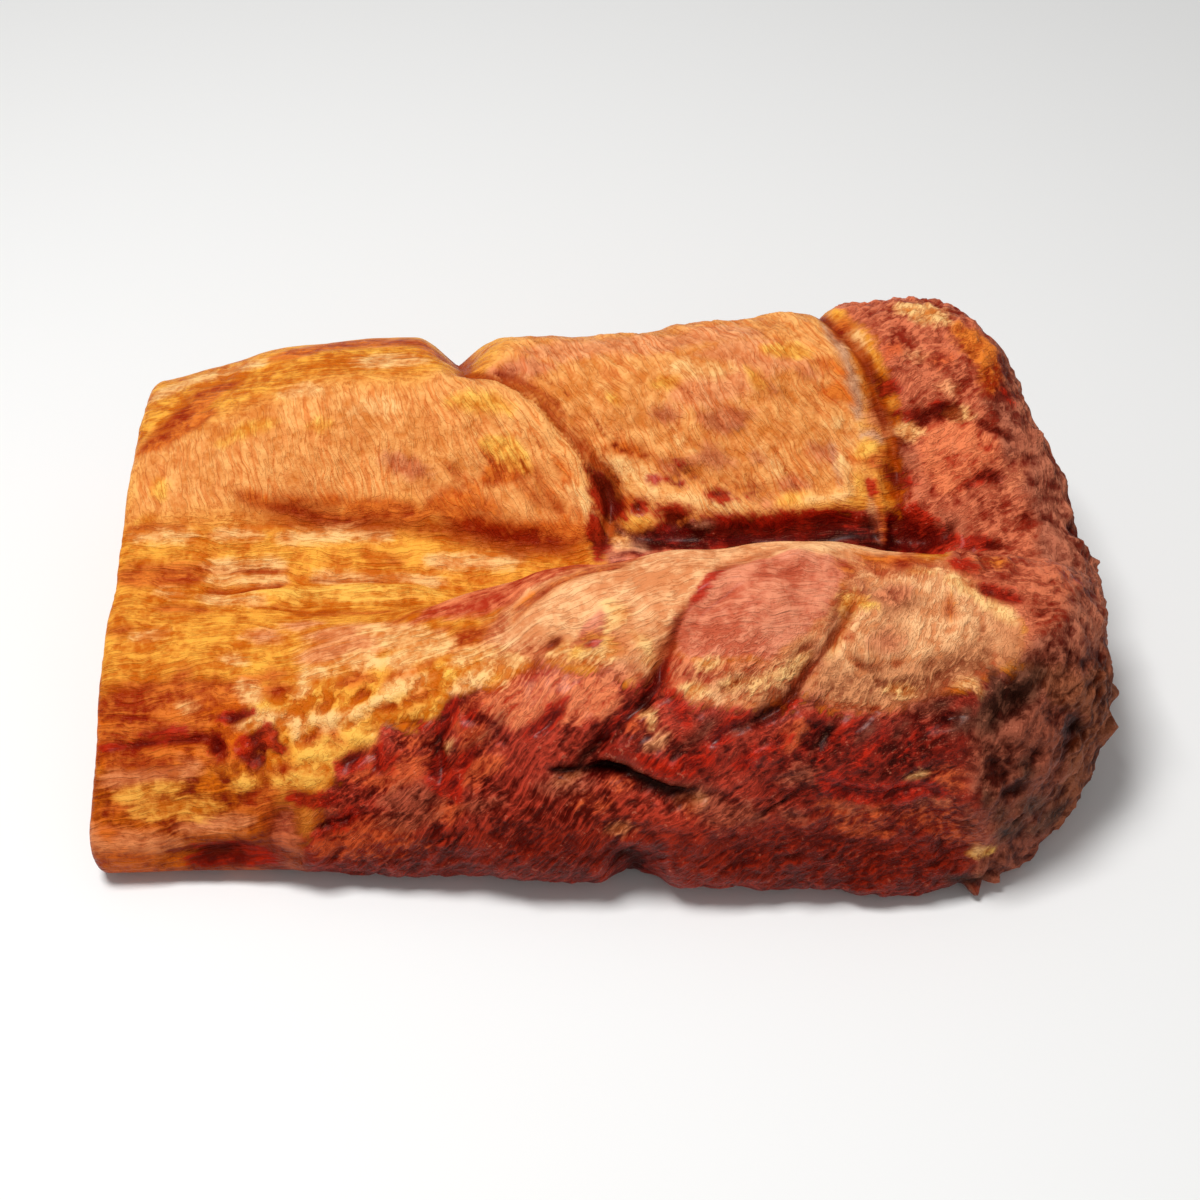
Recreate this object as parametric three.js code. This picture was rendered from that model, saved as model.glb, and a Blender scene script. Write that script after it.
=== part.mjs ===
// A boneless ham: a cooked and smoked joint of pork, one solid piece, in millimetres, +Z up.
// It lies on a flat underside with its long side along X. Its front, with the lean meat, faces -Y.
// The origin is the middle of the ham's plan, on the surface that it rests on.
//
// The skin is a loft. A place on it is (along, station): along is millimetres over the skin from the
// rim of the cut left end, and station goes once round the girth in ten steps, from the middle of the
// underside over the front lobe, the valley and the back lobe, and down the back.
import * as THREE from 'three';

// Driving dimensions of the loft.
const LEFT_END_X = -151.5;
const RIGHT_END_X = 155;
const KEY_X = [-153, -100, -50, 0, 50, 100, 157];
const GIRTH = [
  { name: 'underside', y: [0, 0, 0, 0, 0, 0, 0], z: [0, 0, 0, 0, 0, 0, 0] },
  { name: 'front foot', y: [-76, -76, -77, -80, -83, -86, -83], z: [0, 0, 0, 0, 0, 0, 0] },
  { name: 'front belly', y: [-88, -89, -91, -94, -95, -94, -90], z: [14, 17, 21, 25, 27, 27, 26] },
  { name: 'front shoulder', y: [-70, -72, -74, -75, -77, -78, -76], z: [28, 36, 44, 56, 62, 60, 54] },
  { name: 'front crest', y: [-38, -38, -38, -33, -30, -32, -36], z: [44, 50, 62, 79, 85, 82, 74] },
  { name: 'valley', y: [-4, -4, -6, -6, -6, -6, -4], z: [50, 46, 45, 46, 48, 52, 64] },
  { name: 'back crest', y: [34, 42, 46, 48, 50, 52, 48], z: [60, 76, 81, 83, 87, 93, 90] },
  { name: 'back shoulder', y: [74, 80, 84, 83, 84, 88, 88], z: [60, 71, 74, 73, 79, 84, 80] },
  { name: 'back belly', y: [90, 94, 96, 95, 96, 99, 98], z: [30, 36, 38, 38, 40, 42, 42] },
  { name: 'back foot', y: [74, 76, 78, 76, 78, 80, 78], z: [0, 0, 0, 0, 0, 0, 0] },
];

// The ends close on a core line: the left end is a straight cut with a small rim, the right end is
// a blunt nose whose two sides fall back in plan.
const CORE_X = [-150, 0, 156];
const CORE_Y = [0, 0, -12];
const CORE_Z = [26, 34, 31];
const MEAN_RADIUS = 65;
const LEFT_RIM = 4;
const NOSE_LENGTH = 34;
const NOSE_POWER = 2.8;
const NOSE_PLAN_SQUARENESS = 0.75;
const NOSE_RAMP_START_X = 20;
const NOSE_RAMP_POWER = 1.6;
const NOSE_BACK = { fromY: -10, span: 100, drop: 26, power: 1.35 };
const NOSE_FRONT = { fromY: -45, span: 46, drop: 26, power: 1.7 };

// Forms on the skin, each with its height, its reach to either side, and its path of
// (along, station) places. A swell is a rounded ridge, or a hollow where its height is negative.
const swell = (height, reach, path) => ({ kind: 'swell', height, reach, path });

// A seam is a V-shaped groove between muscles.
const seam = (depth, reach, path) => ({ kind: 'seam', height: -depth, reach, path });

// A lap is an edge where the meat on the left of the path, seen from outside, lies over the rest.
const lap = (height, reach, path) => ({ kind: 'lap', height, reach, path });

const FORMS = [
  // The golden back lobe over the middle lobe, and the same joint on over the back.
  lap(4.5, 12, [[148, 5.18], [148, 5.3], [149, 5.42], [147.5, 5.49], [143.5, 5.56], [140, 5.64],
    [137, 5.69], [133, 5.76], [129, 5.83], [123.5, 5.92], [117, 6.04], [111, 6.14], [104, 6.25]]),
  seam(3.5, 9, [[96, 8.3], [98, 7.4], [100, 6.9], [102, 6.5], [104, 6.25], [113, 6.1], [125, 5.9]]),
  swell(-6.5, 15, [[97, 7.6], [99, 7.2], [101, 6.8], [103, 6.5], [105, 6.28]]),
  // The golden dome, its back edge and its foot along the valley.
  swell(2, 30, [[8, 6], [38, 6], [68, 6.1], [93, 6]]),
  swell(1.8, 20, [[20, 6.9], [43, 6.9], [68, 6.95], [83, 6.8]]),
  swell(-2.5, 9, [[38, 5.4], [68, 5.36], [98, 5.33], [123, 5.26], [144, 5.23]]),
  // The middle and right lobes of the back, and the groove between them.
  swell(2, 22, [[122, 6.6], [150, 6.7], [185, 6.75], [212, 6.6]]),
  seam(5, 9, [[218, 8.2], [220, 7.4], [224, 6.8], [227, 6.5], [231, 6.24], [236, 5.98], [238, 5.85],
    [240, 5.72], [243, 5.6], [243, 5.42], [243, 5.25]]),
  swell(1, 18, [[248, 6.7], [262, 6.6], [278, 6.35]]),
  swell(2, 14, [[258, 5.55], [270, 5.52]]),
  seam(3, 6, [[244, 5.66], [253, 5.66], [260, 5.69], [270, 5.71]]),
  // The fringe of the middle lobe and the gap under it, down to the valley.
  swell(-4, 8, [[150, 5.3], [165, 5.28], [190, 5.27], [215, 5.28], [236, 5.26], [256, 5.2]]),
  swell(2.2, 6, [[157, 5.5], [170, 5.45], [185, 5.41], [205, 5.38], [228, 5.39]]),
  swell(-5, 8, [[146, 5.55], [151, 5.44], [149, 5.32]]),
  // The tendon in the valley and the lean ridge that it runs into.
  swell(2.5, 6, [[34, 4.77], [50, 4.83], [60, 4.87], [70, 4.9], [80, 4.91], [90, 4.9], [98, 4.85]]),
  swell(2.5, 14, [[95, 4.25], [110, 4.3], [125, 4.35], [140, 4.3]]),
  // The muscles of the front lobe and the seams between them.
  swell(3, 22, [[184, 3.57], [205, 3.62]]),
  swell(2.5, 24, [[228, 3.5], [246, 3.5], [258, 3.55]]),
  swell(2.5, 20, [[118, 3.1], [133, 3.15], [143, 3.2]]),
  seam(4, 7, [[206, 3.88], [195, 3.82], [184, 3.74], [172, 3.58], [164, 3.33], [164, 3.22], [158, 3.1],
    [150, 2.95], [141, 2.76]]),
  seam(3, 7, [[219, 3.72], [217, 3.55], [214.5, 3.46], [208.5, 3.35], [204, 3.15], [196, 3.03],
    [190, 2.97]]),
  seam(4, 5, [[214.5, 3.02], [212, 2.9], [208, 2.79]]),
  seam(3, 5, [[106, 3.36], [101.5, 3.22], [100, 3.05], [101, 2.9], [101, 2.68]]),
  // The open crack in the lean meat.
  lap(3.5, 9, [[141, 2.71], [147, 2.76], [155, 2.71], [161, 2.63], [167, 2.56], [172.5, 2.54],
    [178, 2.59]]),
  seam(3, 6, [[141, 2.68], [147, 2.73], [155, 2.68], [161, 2.6], [167, 2.535], [172.5, 2.51], [178, 2.56]]),
  // The rough edge where the front turns into the blunt right end.
  swell(2.5, 12, [[269, 3.72], [268, 3.55], [263.5, 3.38], [260, 3.2], [260, 3], [264.5, 2.65],
    [272, 2.27], [279, 1.9]]),
  // The front foot: its notch, the bulges beside it, and the undercut left end.
  swell(-8, 11, [[158, 2.1], [158, 1.75], [158, 1.45], [158, 1.1]]),
  swell(1.5, 18, [[110, 1.7], [128, 1.65], [145, 1.7]]),
  swell(2, 16, [[176, 1.55], [190, 1.5], [205, 1.55]]),
  swell(-4, 9, [[22, 1.9], [34, 1.9], [46, 1.95]]),
  swell(2, 9, [[58, 1.9], [60, 2.2], [62, 1.6]]),
  swell(-2, 10, [[43, 3.15], [50, 3.13]]),
  // The muscles of the back.
  seam(4, 10, [[150, 8.1], [176, 8.4], [205, 8.3], [236, 8.6]]),
  seam(3, 9, [[28, 8.2], [50, 8.5], [76, 8.45], [100, 8.7]]),
  swell(2, 22, [[120, 8.7], [150, 8.9], [180, 9]]),
];

// How a form stands on the skin: a lap's edge is this wide, and its low side sinks by this share of
// its height. A form fades towards the ends of its path, over a share of the path or some reaches.
const LAP_EDGE = 4.5;
const LAP_LOW_SIDE = 0.35;
const SEAM_POWER = 1.5;
const FADE_OF_PATH = 0.35;
const FADE_REACHES = 1.6;
const FADE_START = 0.1;
const SWELL_AT_END = 0.45;
const OUT_OF_REACH = 3;

// A form's distance and reach waver, so that no form is straight or even.
const WOBBLE = { count: 20, longest: 45, shortest: 9 };
const WOBBLE_MOST = 2.5;
const WOBBLE_OF_REACH = 0.3;
const REACH_WOBBLE = 0.25;

// Low lumps all over, stronger towards the torn right end.
const LUMPS = { count: 26, longest: 70, shortest: 13 };
const LUMP_HEIGHT_LEFT = 0.5;
const LUMP_HEIGHT_RIGHT = 1.5;
const LUMP_RAMP = [90, 270];

// The underside is flat from the middle out to where the meat starts to round up.
const FLAT_STATIONS = [0.5, 1.1];

// The middle of the finished ham's plan, which becomes the origin.
const PLAN_CENTRE = [2.32, 1.39];

// The net of the solid: rows across the ham and columns round the girth.
const ROWS = { leftFace: 5, leftRim: 3, body: 58, nose: 14 };
const BODY_END = 274;
const COLUMNS = [
  { from: -0.9, to: 0.9, count: 6 },
  { from: 0.9, to: 5.4, count: 32 },
  { from: 5.4, to: 9.1, count: 22 },
];

const clamp = THREE.MathUtils.clamp;

function smoothStep(low, high, value) {
  const t = clamp((value - low) / (high - low), 0, 1);
  return t * t * (3 - 2 * t);
}

// A smooth curve through keyed values, whose slope at a key is the mean of the two spans beside it.
function keyed(x, keys, values) {
  const last = keys.length - 1;
  const slope = (i) => (values[i + 1] - values[i]) / (keys[i + 1] - keys[i]);
  const tangent = (i) => {
    if (i === 0) return slope(0);
    if (i === last) return slope(last - 1);
    const before = keys[i] - keys[i - 1];
    const after = keys[i + 1] - keys[i];
    return (slope(i - 1) * after + slope(i) * before) / (before + after);
  };
  const at = clamp(x, keys[0], keys[last]);
  let i = 0;
  while (i < last - 1 && at >= keys[i + 1]) i += 1;
  const step = keys[i + 1] - keys[i];
  const t = (at - keys[i]) / step;
  const t2 = t * t;
  const t3 = t2 * t;
  return (2 * t3 - 3 * t2 + 1) * values[i] + (t3 - 2 * t2 + t) * step * tangent(i)
    + (3 * t2 - 2 * t3) * values[i + 1] + (t3 - t2) * step * tangent(i + 1);
}

// A closed curve round the girth through the ten stations.
function roundGirth(values, station) {
  const count = values.length;
  const i = Math.floor(station);
  const t = station - i;
  const [p0, p1, p2, p3] = [-1, 0, 1, 2].map((step) => values[(i + step + 2 * count) % count]);
  return 0.5 * (2 * p1 + (p2 - p0) * t + (2 * p0 - 5 * p1 + 4 * p2 - p3) * t * t
    + (3 * p1 - p0 - 3 * p2 + p3) * t * t * t);
}

// The lengthwise profile: for each distance along the skin, the place x on the ham's axis and how
// far the girth is open there, from 0 at the middle of an end face to 1 on the body.
function lengthwiseProfile() {
  const points = [];
  const openAtFace = 1 - LEFT_RIM / MEAN_RADIUS;
  const facePoints = 99;
  const arcPoints = 400;
  const bodyPoints = 300;
  const noseStart = RIGHT_END_X - NOSE_LENGTH;
  for (let i = 0; i < facePoints; i += 1) points.push([LEFT_END_X, (openAtFace * i) / facePoints]);
  for (let i = 0; i < arcPoints; i += 1) {
    const turn = (Math.PI / 2) * (i / (arcPoints - 1));
    const open = THREE.MathUtils.lerp(openAtFace, 1, Math.sin(turn));
    points.push([LEFT_END_X + LEFT_RIM * (1 - Math.cos(turn)), open]);
  }
  const rimEnd = points.length - 1;
  for (let i = 1; i < bodyPoints; i += 1) {
    points.push([THREE.MathUtils.lerp(LEFT_END_X + LEFT_RIM, noseStart, i / bodyPoints), 1]);
  }
  for (let i = 0; i < arcPoints; i += 1) {
    const turn = (Math.PI / 2) * (i / (arcPoints - 1));
    const open = Math.max(0, Math.cos(turn)) ** (2 / NOSE_POWER);
    points.push([noseStart + NOSE_LENGTH * Math.sin(turn) ** (2 / NOSE_POWER), open]);
  }
  const along = [0];
  for (let i = 1; i < points.length; i += 1) {
    const dx = points[i][0] - points[i - 1][0];
    const dr = (points[i][1] - points[i - 1][1]) * MEAN_RADIUS;
    along.push(along[i - 1] + Math.hypot(dx, dr));
  }
  return {
    along: along.map((value) => value - along[rimEnd]),
    x: points.map((point) => point[0]),
    open: points.map((point) => point[1]),
  };
}

const PROFILE = lengthwiseProfile();
const ALONG_START = PROFILE.along[0];
const ALONG_END = PROFILE.along[PROFILE.along.length - 1];

function profileAt(along) {
  const at = clamp(along, ALONG_START, ALONG_END);
  let low = 0;
  let high = PROFILE.along.length - 1;
  while (high - low > 1) {
    const middle = (low + high) >> 1;
    if (PROFILE.along[middle] <= at) low = middle;
    else high = middle;
  }
  const step = PROFILE.along[high] - PROFILE.along[low];
  const t = step > 0 ? (at - PROFILE.along[low]) / step : 0;
  return {
    x: THREE.MathUtils.lerp(PROFILE.x[low], PROFILE.x[high], t),
    open: THREE.MathUtils.lerp(PROFILE.open[low], PROFILE.open[high], t),
  };
}

function fallBack(side, distance) {
  return side.drop * Math.max(0, distance / side.span) ** side.power;
}

// The plain loft, before any form or lump: the point of the skin at a place.
function skinPoint(along, station) {
  const { x, open } = profileAt(along);
  const ringY = roundGirth(GIRTH.map((ring) => keyed(x, KEY_X, ring.y)), station);
  const ringZ = roundGirth(GIRTH.map((ring) => keyed(x, KEY_X, ring.z)), station);
  const coreY = keyed(x, CORE_X, CORE_Y);
  const coreZ = keyed(x, CORE_X, CORE_Z);
  const openAcross = x > 0 ? open ** NOSE_PLAN_SQUARENESS : open;
  const y = coreY + openAcross * (ringY - coreY);
  const z = coreZ + open * (ringZ - coreZ);
  const ramp = clamp((x - NOSE_RAMP_START_X) / (RIGHT_END_X - NOSE_RAMP_START_X), 0, 1) ** NOSE_RAMP_POWER;
  const back = fallBack(NOSE_BACK, y - NOSE_BACK.fromY);
  const front = fallBack(NOSE_FRONT, NOSE_FRONT.fromY - y);
  return new THREE.Vector3(x - ramp * (back + front), y, Math.max(z, 0));
}

function skinNormal(along, station) {
  if (along <= ALONG_START) return new THREE.Vector3(-1, 0, 0);
  if (along >= ALONG_END) return new THREE.Vector3(1, 0, 0);
  const alongStep = 0.6;
  const stationStep = 0.02;
  const lengthwise = skinPoint(along + alongStep, station).sub(skinPoint(along - alongStep, station));
  const round = skinPoint(along, station + stationStep).sub(skinPoint(along, station - stationStep));
  return lengthwise.cross(round).normalize();
}

// A sum of plane sine waves whose directions turn by the golden angle, from long waves to short.
function waves(point, { count, longest, shortest }) {
  const goldenAngle = 2.39996;
  const phaseStep = 1.7;
  const fall = 0.8;
  const level = 1 / 3;
  let sum = 0;
  for (let i = 0; i < count; i += 1) {
    const up = 1 - (2 * (i + 0.5)) / count;
    const flat = Math.sqrt(1 - up * up);
    const length = longest * (shortest / longest) ** (i / (count - 1));
    const heading = new THREE.Vector3(flat * Math.cos(goldenAngle * i), flat * Math.sin(goldenAngle * i), up);
    const distance = point.dot(heading);
    sum += (length / longest) ** fall * Math.sin((2 * Math.PI * distance) / length + phaseStep * i);
  }
  return level * sum;
}

// A form's path on the plain skin, as short straight pieces with the length run so far.
const PIECES_PER_STEP = 6;
function pathOnSkin(path) {
  const points = [];
  for (let i = 0; i < path.length - 1; i += 1) {
    for (let j = i === 0 ? 0 : 1; j <= PIECES_PER_STEP; j += 1) {
      const t = j / PIECES_PER_STEP;
      points.push(skinPoint(THREE.MathUtils.lerp(path[i][0], path[i + 1][0], t),
        THREE.MathUtils.lerp(path[i][1], path[i + 1][1], t)));
    }
  }
  const run = [0];
  for (let i = 1; i < points.length; i += 1) run.push(run[i - 1] + points[i].distanceTo(points[i - 1]));
  return { points, run, length: run[run.length - 1] };
}

// The nearest place of a path: its distance, the length run to it, and which side the point is on.
function nearestOnPath(route, point, normal) {
  const nearest = { distance: Infinity, run: 0, side: 0 };
  for (let i = 0; i < route.points.length - 1; i += 1) {
    const piece = route.points[i + 1].clone().sub(route.points[i]);
    const away = point.clone().sub(route.points[i]);
    const share = clamp(away.dot(piece) / piece.lengthSq(), 0, 1);
    const offset = away.addScaledVector(piece, -share);
    const distance = offset.length();
    if (distance < nearest.distance) {
      nearest.distance = distance;
      nearest.run = THREE.MathUtils.lerp(route.run[i], route.run[i + 1], share);
      nearest.side = Math.sign(piece.clone().cross(offset).dot(normal));
    }
  }
  return nearest;
}

const ROUTES = FORMS.map((form) => ({ ...form, route: pathOnSkin(form.path) }));

function formHeight(form, point, normal, wobble) {
  const near = nearestOnPath(form.route, point, normal);
  if (near.distance > form.reach * OUT_OF_REACH) return 0;
  const reach = form.reach * (1 + REACH_WOBBLE * wobble);
  const toEnd = Math.min(near.run, form.route.length - near.run);
  const fadeLength = Math.min(FADE_OF_PATH * form.route.length, FADE_REACHES * form.reach);
  const fade = smoothStep(0, 1, toEnd / fadeLength + FADE_START);
  if (form.kind === 'swell') {
    const waver = wobble * Math.min(WOBBLE_MOST, WOBBLE_OF_REACH * form.reach);
    const share = 1 - Math.max(0, near.distance + waver) / reach;
    return form.height * smoothStep(0, 1, share) * THREE.MathUtils.lerp(SWELL_AT_END, 1, fade);
  }
  if (form.kind === 'seam') {
    return form.height * clamp(1 - near.distance / reach, 0, 1) ** SEAM_POWER * fade;
  }
  const edge = smoothStep(-LAP_EDGE, LAP_EDGE, near.side * near.distance);
  return form.height * fade * Math.exp(-((near.distance / reach) ** 2)) * (edge - LAP_LOW_SIDE);
}

// The finished skin: the loft, moved along its normal by the forms and the lumps.
function hamPoint(along, station) {
  const point = skinPoint(along, station);
  const normal = skinNormal(along, station);
  const wobble = waves(point, WOBBLE);
  let height = 0;
  for (const form of ROUTES) height += formHeight(form, point, normal, wobble);
  const rough = smoothStep(...LUMP_RAMP, along);
  const lumpHeight = THREE.MathUtils.lerp(LUMP_HEIGHT_LEFT, LUMP_HEIGHT_RIGHT, rough);
  height += lumpHeight * waves(point, LUMPS);
  const fromUnderside = Math.min(station, GIRTH.length - station);
  height *= smoothStep(...FLAT_STATIONS, Math.abs(fromUnderside));
  point.addScaledVector(normal, height);
  point.z = Math.max(point.z, 0);
  return point.sub(new THREE.Vector3(PLAN_CENTRE[0], PLAN_CENTRE[1], 0));
}

function spread(from, to, count) {
  return Array.from({ length: count }, (_, i) => from + ((to - from) * i) / count);
}

// A closed net: one point at the middle of each end, and rings of columns between them.
function hamGeometry() {
  const rimStart = -1.5 * LEFT_RIM;
  const rows = [
    ...spread(ALONG_START, rimStart, ROWS.leftFace).slice(1),
    ...spread(rimStart, 0, ROWS.leftRim),
    ...spread(0, BODY_END, ROWS.body),
    ...spread(BODY_END, ALONG_END, ROWS.nose),
  ];
  const stations = COLUMNS.flatMap(({ from, to, count }) => spread(from, to, count));
  const columns = stations.length;
  const points = rows.flatMap((along) => stations.map((station) => hamPoint(along, station)));
  const leftPole = points.length;
  const rightPole = leftPole + 1;
  points.push(hamPoint(ALONG_START, 0), hamPoint(ALONG_END, 0));
  const triangles = [];
  for (let column = 0; column < columns; column += 1) {
    const next = (column + 1) % columns;
    const lastRow = (rows.length - 1) * columns;
    triangles.push(leftPole, column, next, rightPole, lastRow + next, lastRow + column);
    for (let row = 0; row < rows.length - 1; row += 1) {
      const here = row * columns;
      const there = here + columns;
      triangles.push(here + column, there + column, here + next, here + next, there + column, there + next);
    }
  }
  const geometry = new THREE.BufferGeometry();
  geometry.setAttribute('position', new THREE.Float32BufferAttribute(points.flatMap((p) => p.toArray()), 3));
  geometry.setIndex(triangles);
  geometry.computeVertexNormals();
  return geometry;
}

const smokedMeat = new THREE.MeshStandardMaterial({ color: 0xb5602f, roughness: 0.5, metalness: 0 });
const ham = new THREE.Mesh(hamGeometry(), smokedMeat);
ham.name = 'ham';

const object = new THREE.Group();
object.add(ham);

export default object;
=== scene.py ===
# %% [markdown]
# # A boneless smoked ham
#
# The ham is one piece of meat: two lengthwise lobes with a valley between them, a straight cut end on
# the left and a rough blunt end on the right. This file makes its skin as one fine surface, paints the
# finishes of the meat on it, and sets it on a pale floor. Lengths are in millimetres until the mesh is
# made, and in metres from there on.

import bpy
import numpy as np
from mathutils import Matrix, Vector


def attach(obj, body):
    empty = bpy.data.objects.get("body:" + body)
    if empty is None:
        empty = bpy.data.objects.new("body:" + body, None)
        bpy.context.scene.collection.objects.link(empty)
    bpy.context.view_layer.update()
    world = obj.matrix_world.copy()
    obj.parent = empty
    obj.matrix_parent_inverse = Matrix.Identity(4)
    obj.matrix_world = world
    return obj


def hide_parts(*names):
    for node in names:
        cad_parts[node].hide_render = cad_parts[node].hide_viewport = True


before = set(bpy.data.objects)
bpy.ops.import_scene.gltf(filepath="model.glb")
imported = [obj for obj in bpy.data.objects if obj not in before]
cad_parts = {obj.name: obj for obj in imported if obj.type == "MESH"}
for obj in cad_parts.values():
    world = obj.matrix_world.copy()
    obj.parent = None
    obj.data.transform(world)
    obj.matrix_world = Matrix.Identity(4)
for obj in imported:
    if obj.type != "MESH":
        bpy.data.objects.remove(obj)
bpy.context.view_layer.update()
MM = 0.001

# %% [markdown]
# ## The loft
#
# A joint of meat has no straight edge, so its skin could be sculpted by hand. A loft is easier to keep
# true to size: ten lines run the length of the ham, such as the two crests, the valley and the bellies,
# and each keeps its distance from the middle and its height at seven places. A smooth closed curve
# round the girth joins the ten lines. A place on the skin is then two numbers, `along` in millimetres
# over the skin from the rim of the cut end, and `station`, which goes round the girth from 0 to 10.

# %% Driving dimensions
LEFT_END_X, RIGHT_END_X = -151.5, 155.0
KEY_X = [-153, -100, -50, 0, 50, 100, 157]
GIRTH = [
    ("underside", [0, 0, 0, 0, 0, 0, 0], [0, 0, 0, 0, 0, 0, 0]),
    ("front foot", [-76, -76, -77, -80, -83, -86, -83], [0, 0, 0, 0, 0, 0, 0]),
    ("front belly", [-88, -89, -91, -94, -95, -94, -90], [14, 17, 21, 25, 27, 27, 26]),
    ("front shoulder", [-70, -72, -74, -75, -77, -78, -76], [28, 36, 44, 56, 62, 60, 54]),
    ("front crest", [-38, -38, -38, -33, -30, -32, -36], [44, 50, 62, 79, 85, 82, 74]),
    ("valley", [-4, -4, -6, -6, -6, -6, -4], [50, 46, 45, 46, 48, 52, 64]),
    ("back crest", [34, 42, 46, 48, 50, 52, 48], [60, 76, 81, 83, 87, 93, 90]),
    ("back shoulder", [74, 80, 84, 83, 84, 88, 88], [60, 71, 74, 73, 79, 84, 80]),
    ("back belly", [90, 94, 96, 95, 96, 99, 98], [30, 36, 38, 38, 40, 42, 42]),
    ("back foot", [74, 76, 78, 76, 78, 80, 78], [0, 0, 0, 0, 0, 0, 0]),
]
STATIONS = len(GIRTH)
VALLEY_STATION = 5
CORE_X, CORE_Y, CORE_Z = [-150, 0, 156], [0, 0, -12], [26, 34, 31]
MEAN_RADIUS = 65.0
LEFT_RIM = 4.0
NOSE_LENGTH, NOSE_POWER, NOSE_PLAN_SQUARENESS = 34.0, 2.8, 0.75
NOSE_RAMP_START_X, NOSE_RAMP_POWER = 20.0, 1.6
NOSE_BACK = dict(from_y=-10.0, span=100.0, drop=26.0, power=1.35)
NOSE_FRONT = dict(from_y=-45.0, span=46.0, drop=26.0, power=1.7)
PLAN_CENTRE = np.array([2.32, 1.39, 0.0])


def smooth_step(low, high, value):
    """0 below low, 1 above high, and 3t^2 - 2t^3 between them, with t the share of the way."""
    t = np.clip((value - low) / (high - low), 0, 1)
    return t * t * (3 - 2 * t)


def keyed(x, keys, values):
    """A cubic through keyed values whose slope at a key is the mean of the two spans beside it."""
    keys, values = np.asarray(keys, float), np.asarray(values, float)
    span, slope = np.diff(keys), np.diff(values) / np.diff(keys)
    inner = (slope[:-1] * span[1:] + slope[1:] * span[:-1]) / (span[1:] + span[:-1])
    tangent = np.concatenate([slope[:1], inner, slope[-1:]])
    x = np.clip(x, keys[0], keys[-1])
    i = np.clip(np.searchsorted(keys, x, side="right") - 1, 0, len(keys) - 2)
    t = (x - keys[i]) / span[i]
    return (
        (2 * t**3 - 3 * t**2 + 1) * values[i]
        + (t**3 - 2 * t**2 + t) * span[i] * tangent[i]
        + (3 * t**2 - 2 * t**3) * values[i + 1]
        + (t**3 - t**2) * span[i] * tangent[i + 1]
    )


# %% [markdown]
# ## End to end
#
# The left end was cut with one stroke, so it is flat with a narrow rounded rim, and the right end closes
# like a blunt nose. Both could be caps that are joined to a tube. One profile for the whole length leaves
# no seam to hide: it says how far the girth stands open at every place along the skin.

# %% The lengthwise profile
def lengthwise_profile(arc_points=400, body_points=300, face_points=99):
    """Along, x and open: a flat face, a quarter-round rim, the straight body and a super-ellipse nose.
    open is how far the girth stands open, from 0 at the middle of an end to 1 on the body, and along
    adds up the steps in x and in open times the mean radius."""
    turn = np.linspace(0, np.pi / 2, arc_points)
    open_at_face = 1 - LEFT_RIM / MEAN_RADIUS
    nose_start = RIGHT_END_X - NOSE_LENGTH
    body = np.linspace(LEFT_END_X + LEFT_RIM, nose_start, body_points + 1)[1:-1]
    x = np.concatenate([
        np.full(face_points, LEFT_END_X),
        LEFT_END_X + LEFT_RIM * (1 - np.cos(turn)),
        body,
        nose_start + NOSE_LENGTH * np.sin(turn) ** (2 / NOSE_POWER),
    ])
    opening = np.concatenate([
        open_at_face * np.arange(face_points) / face_points,
        open_at_face + (1 - open_at_face) * np.sin(turn),
        np.ones(len(body)),
        np.clip(np.cos(turn), 0, 1) ** (2 / NOSE_POWER),
    ])
    along = np.concatenate([[0], np.cumsum(np.hypot(np.diff(x), np.diff(opening) * MEAN_RADIUS))])
    return along - along[face_points + arc_points - 1], x, opening


PROFILE_ALONG, PROFILE_X, PROFILE_OPEN = lengthwise_profile()
ALONG_START, ALONG_END = PROFILE_ALONG[0], PROFILE_ALONG[-1]
print(f"skin runs from {ALONG_START:.1f} mm to {ALONG_END:.1f} mm along")


# %% [markdown]
# ## Round the girth
#
# Between two lines of the loft the real skin is a soft curve. Straight spans would show as facets, and one
# oval would lose the valley, so a Catmull-Rom curve runs through the ten stations. Near the right end the
# meat falls back towards the front and the rear, which gives the blunt end its slant.

# %% The loft as a function of along and station
def round_girth(rings, station):
    """Catmull-Rom curve through the ten stations of each girth; rings has one layer for each station."""
    i = np.floor(station).astype(int)
    t = station - i
    layers = [((i + step) % STATIONS)[None] for step in (-1, 0, 1, 2)]
    p0, p1, p2, p3 = (np.take_along_axis(rings, layer, 0)[0] for layer in layers)
    return 0.5 * (
        2 * p1 + (p2 - p0) * t + (2 * p0 - 5 * p1 + 4 * p2 - p3) * t**2 + (3 * p1 - p0 - 3 * p2 + p3) * t**3
    )


def fall_back(side, distance):
    """How far a side of the nose falls back: drop times the share of its span to a power."""
    return side["drop"] * np.clip(distance / side["span"], 0, None) ** side["power"]


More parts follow.
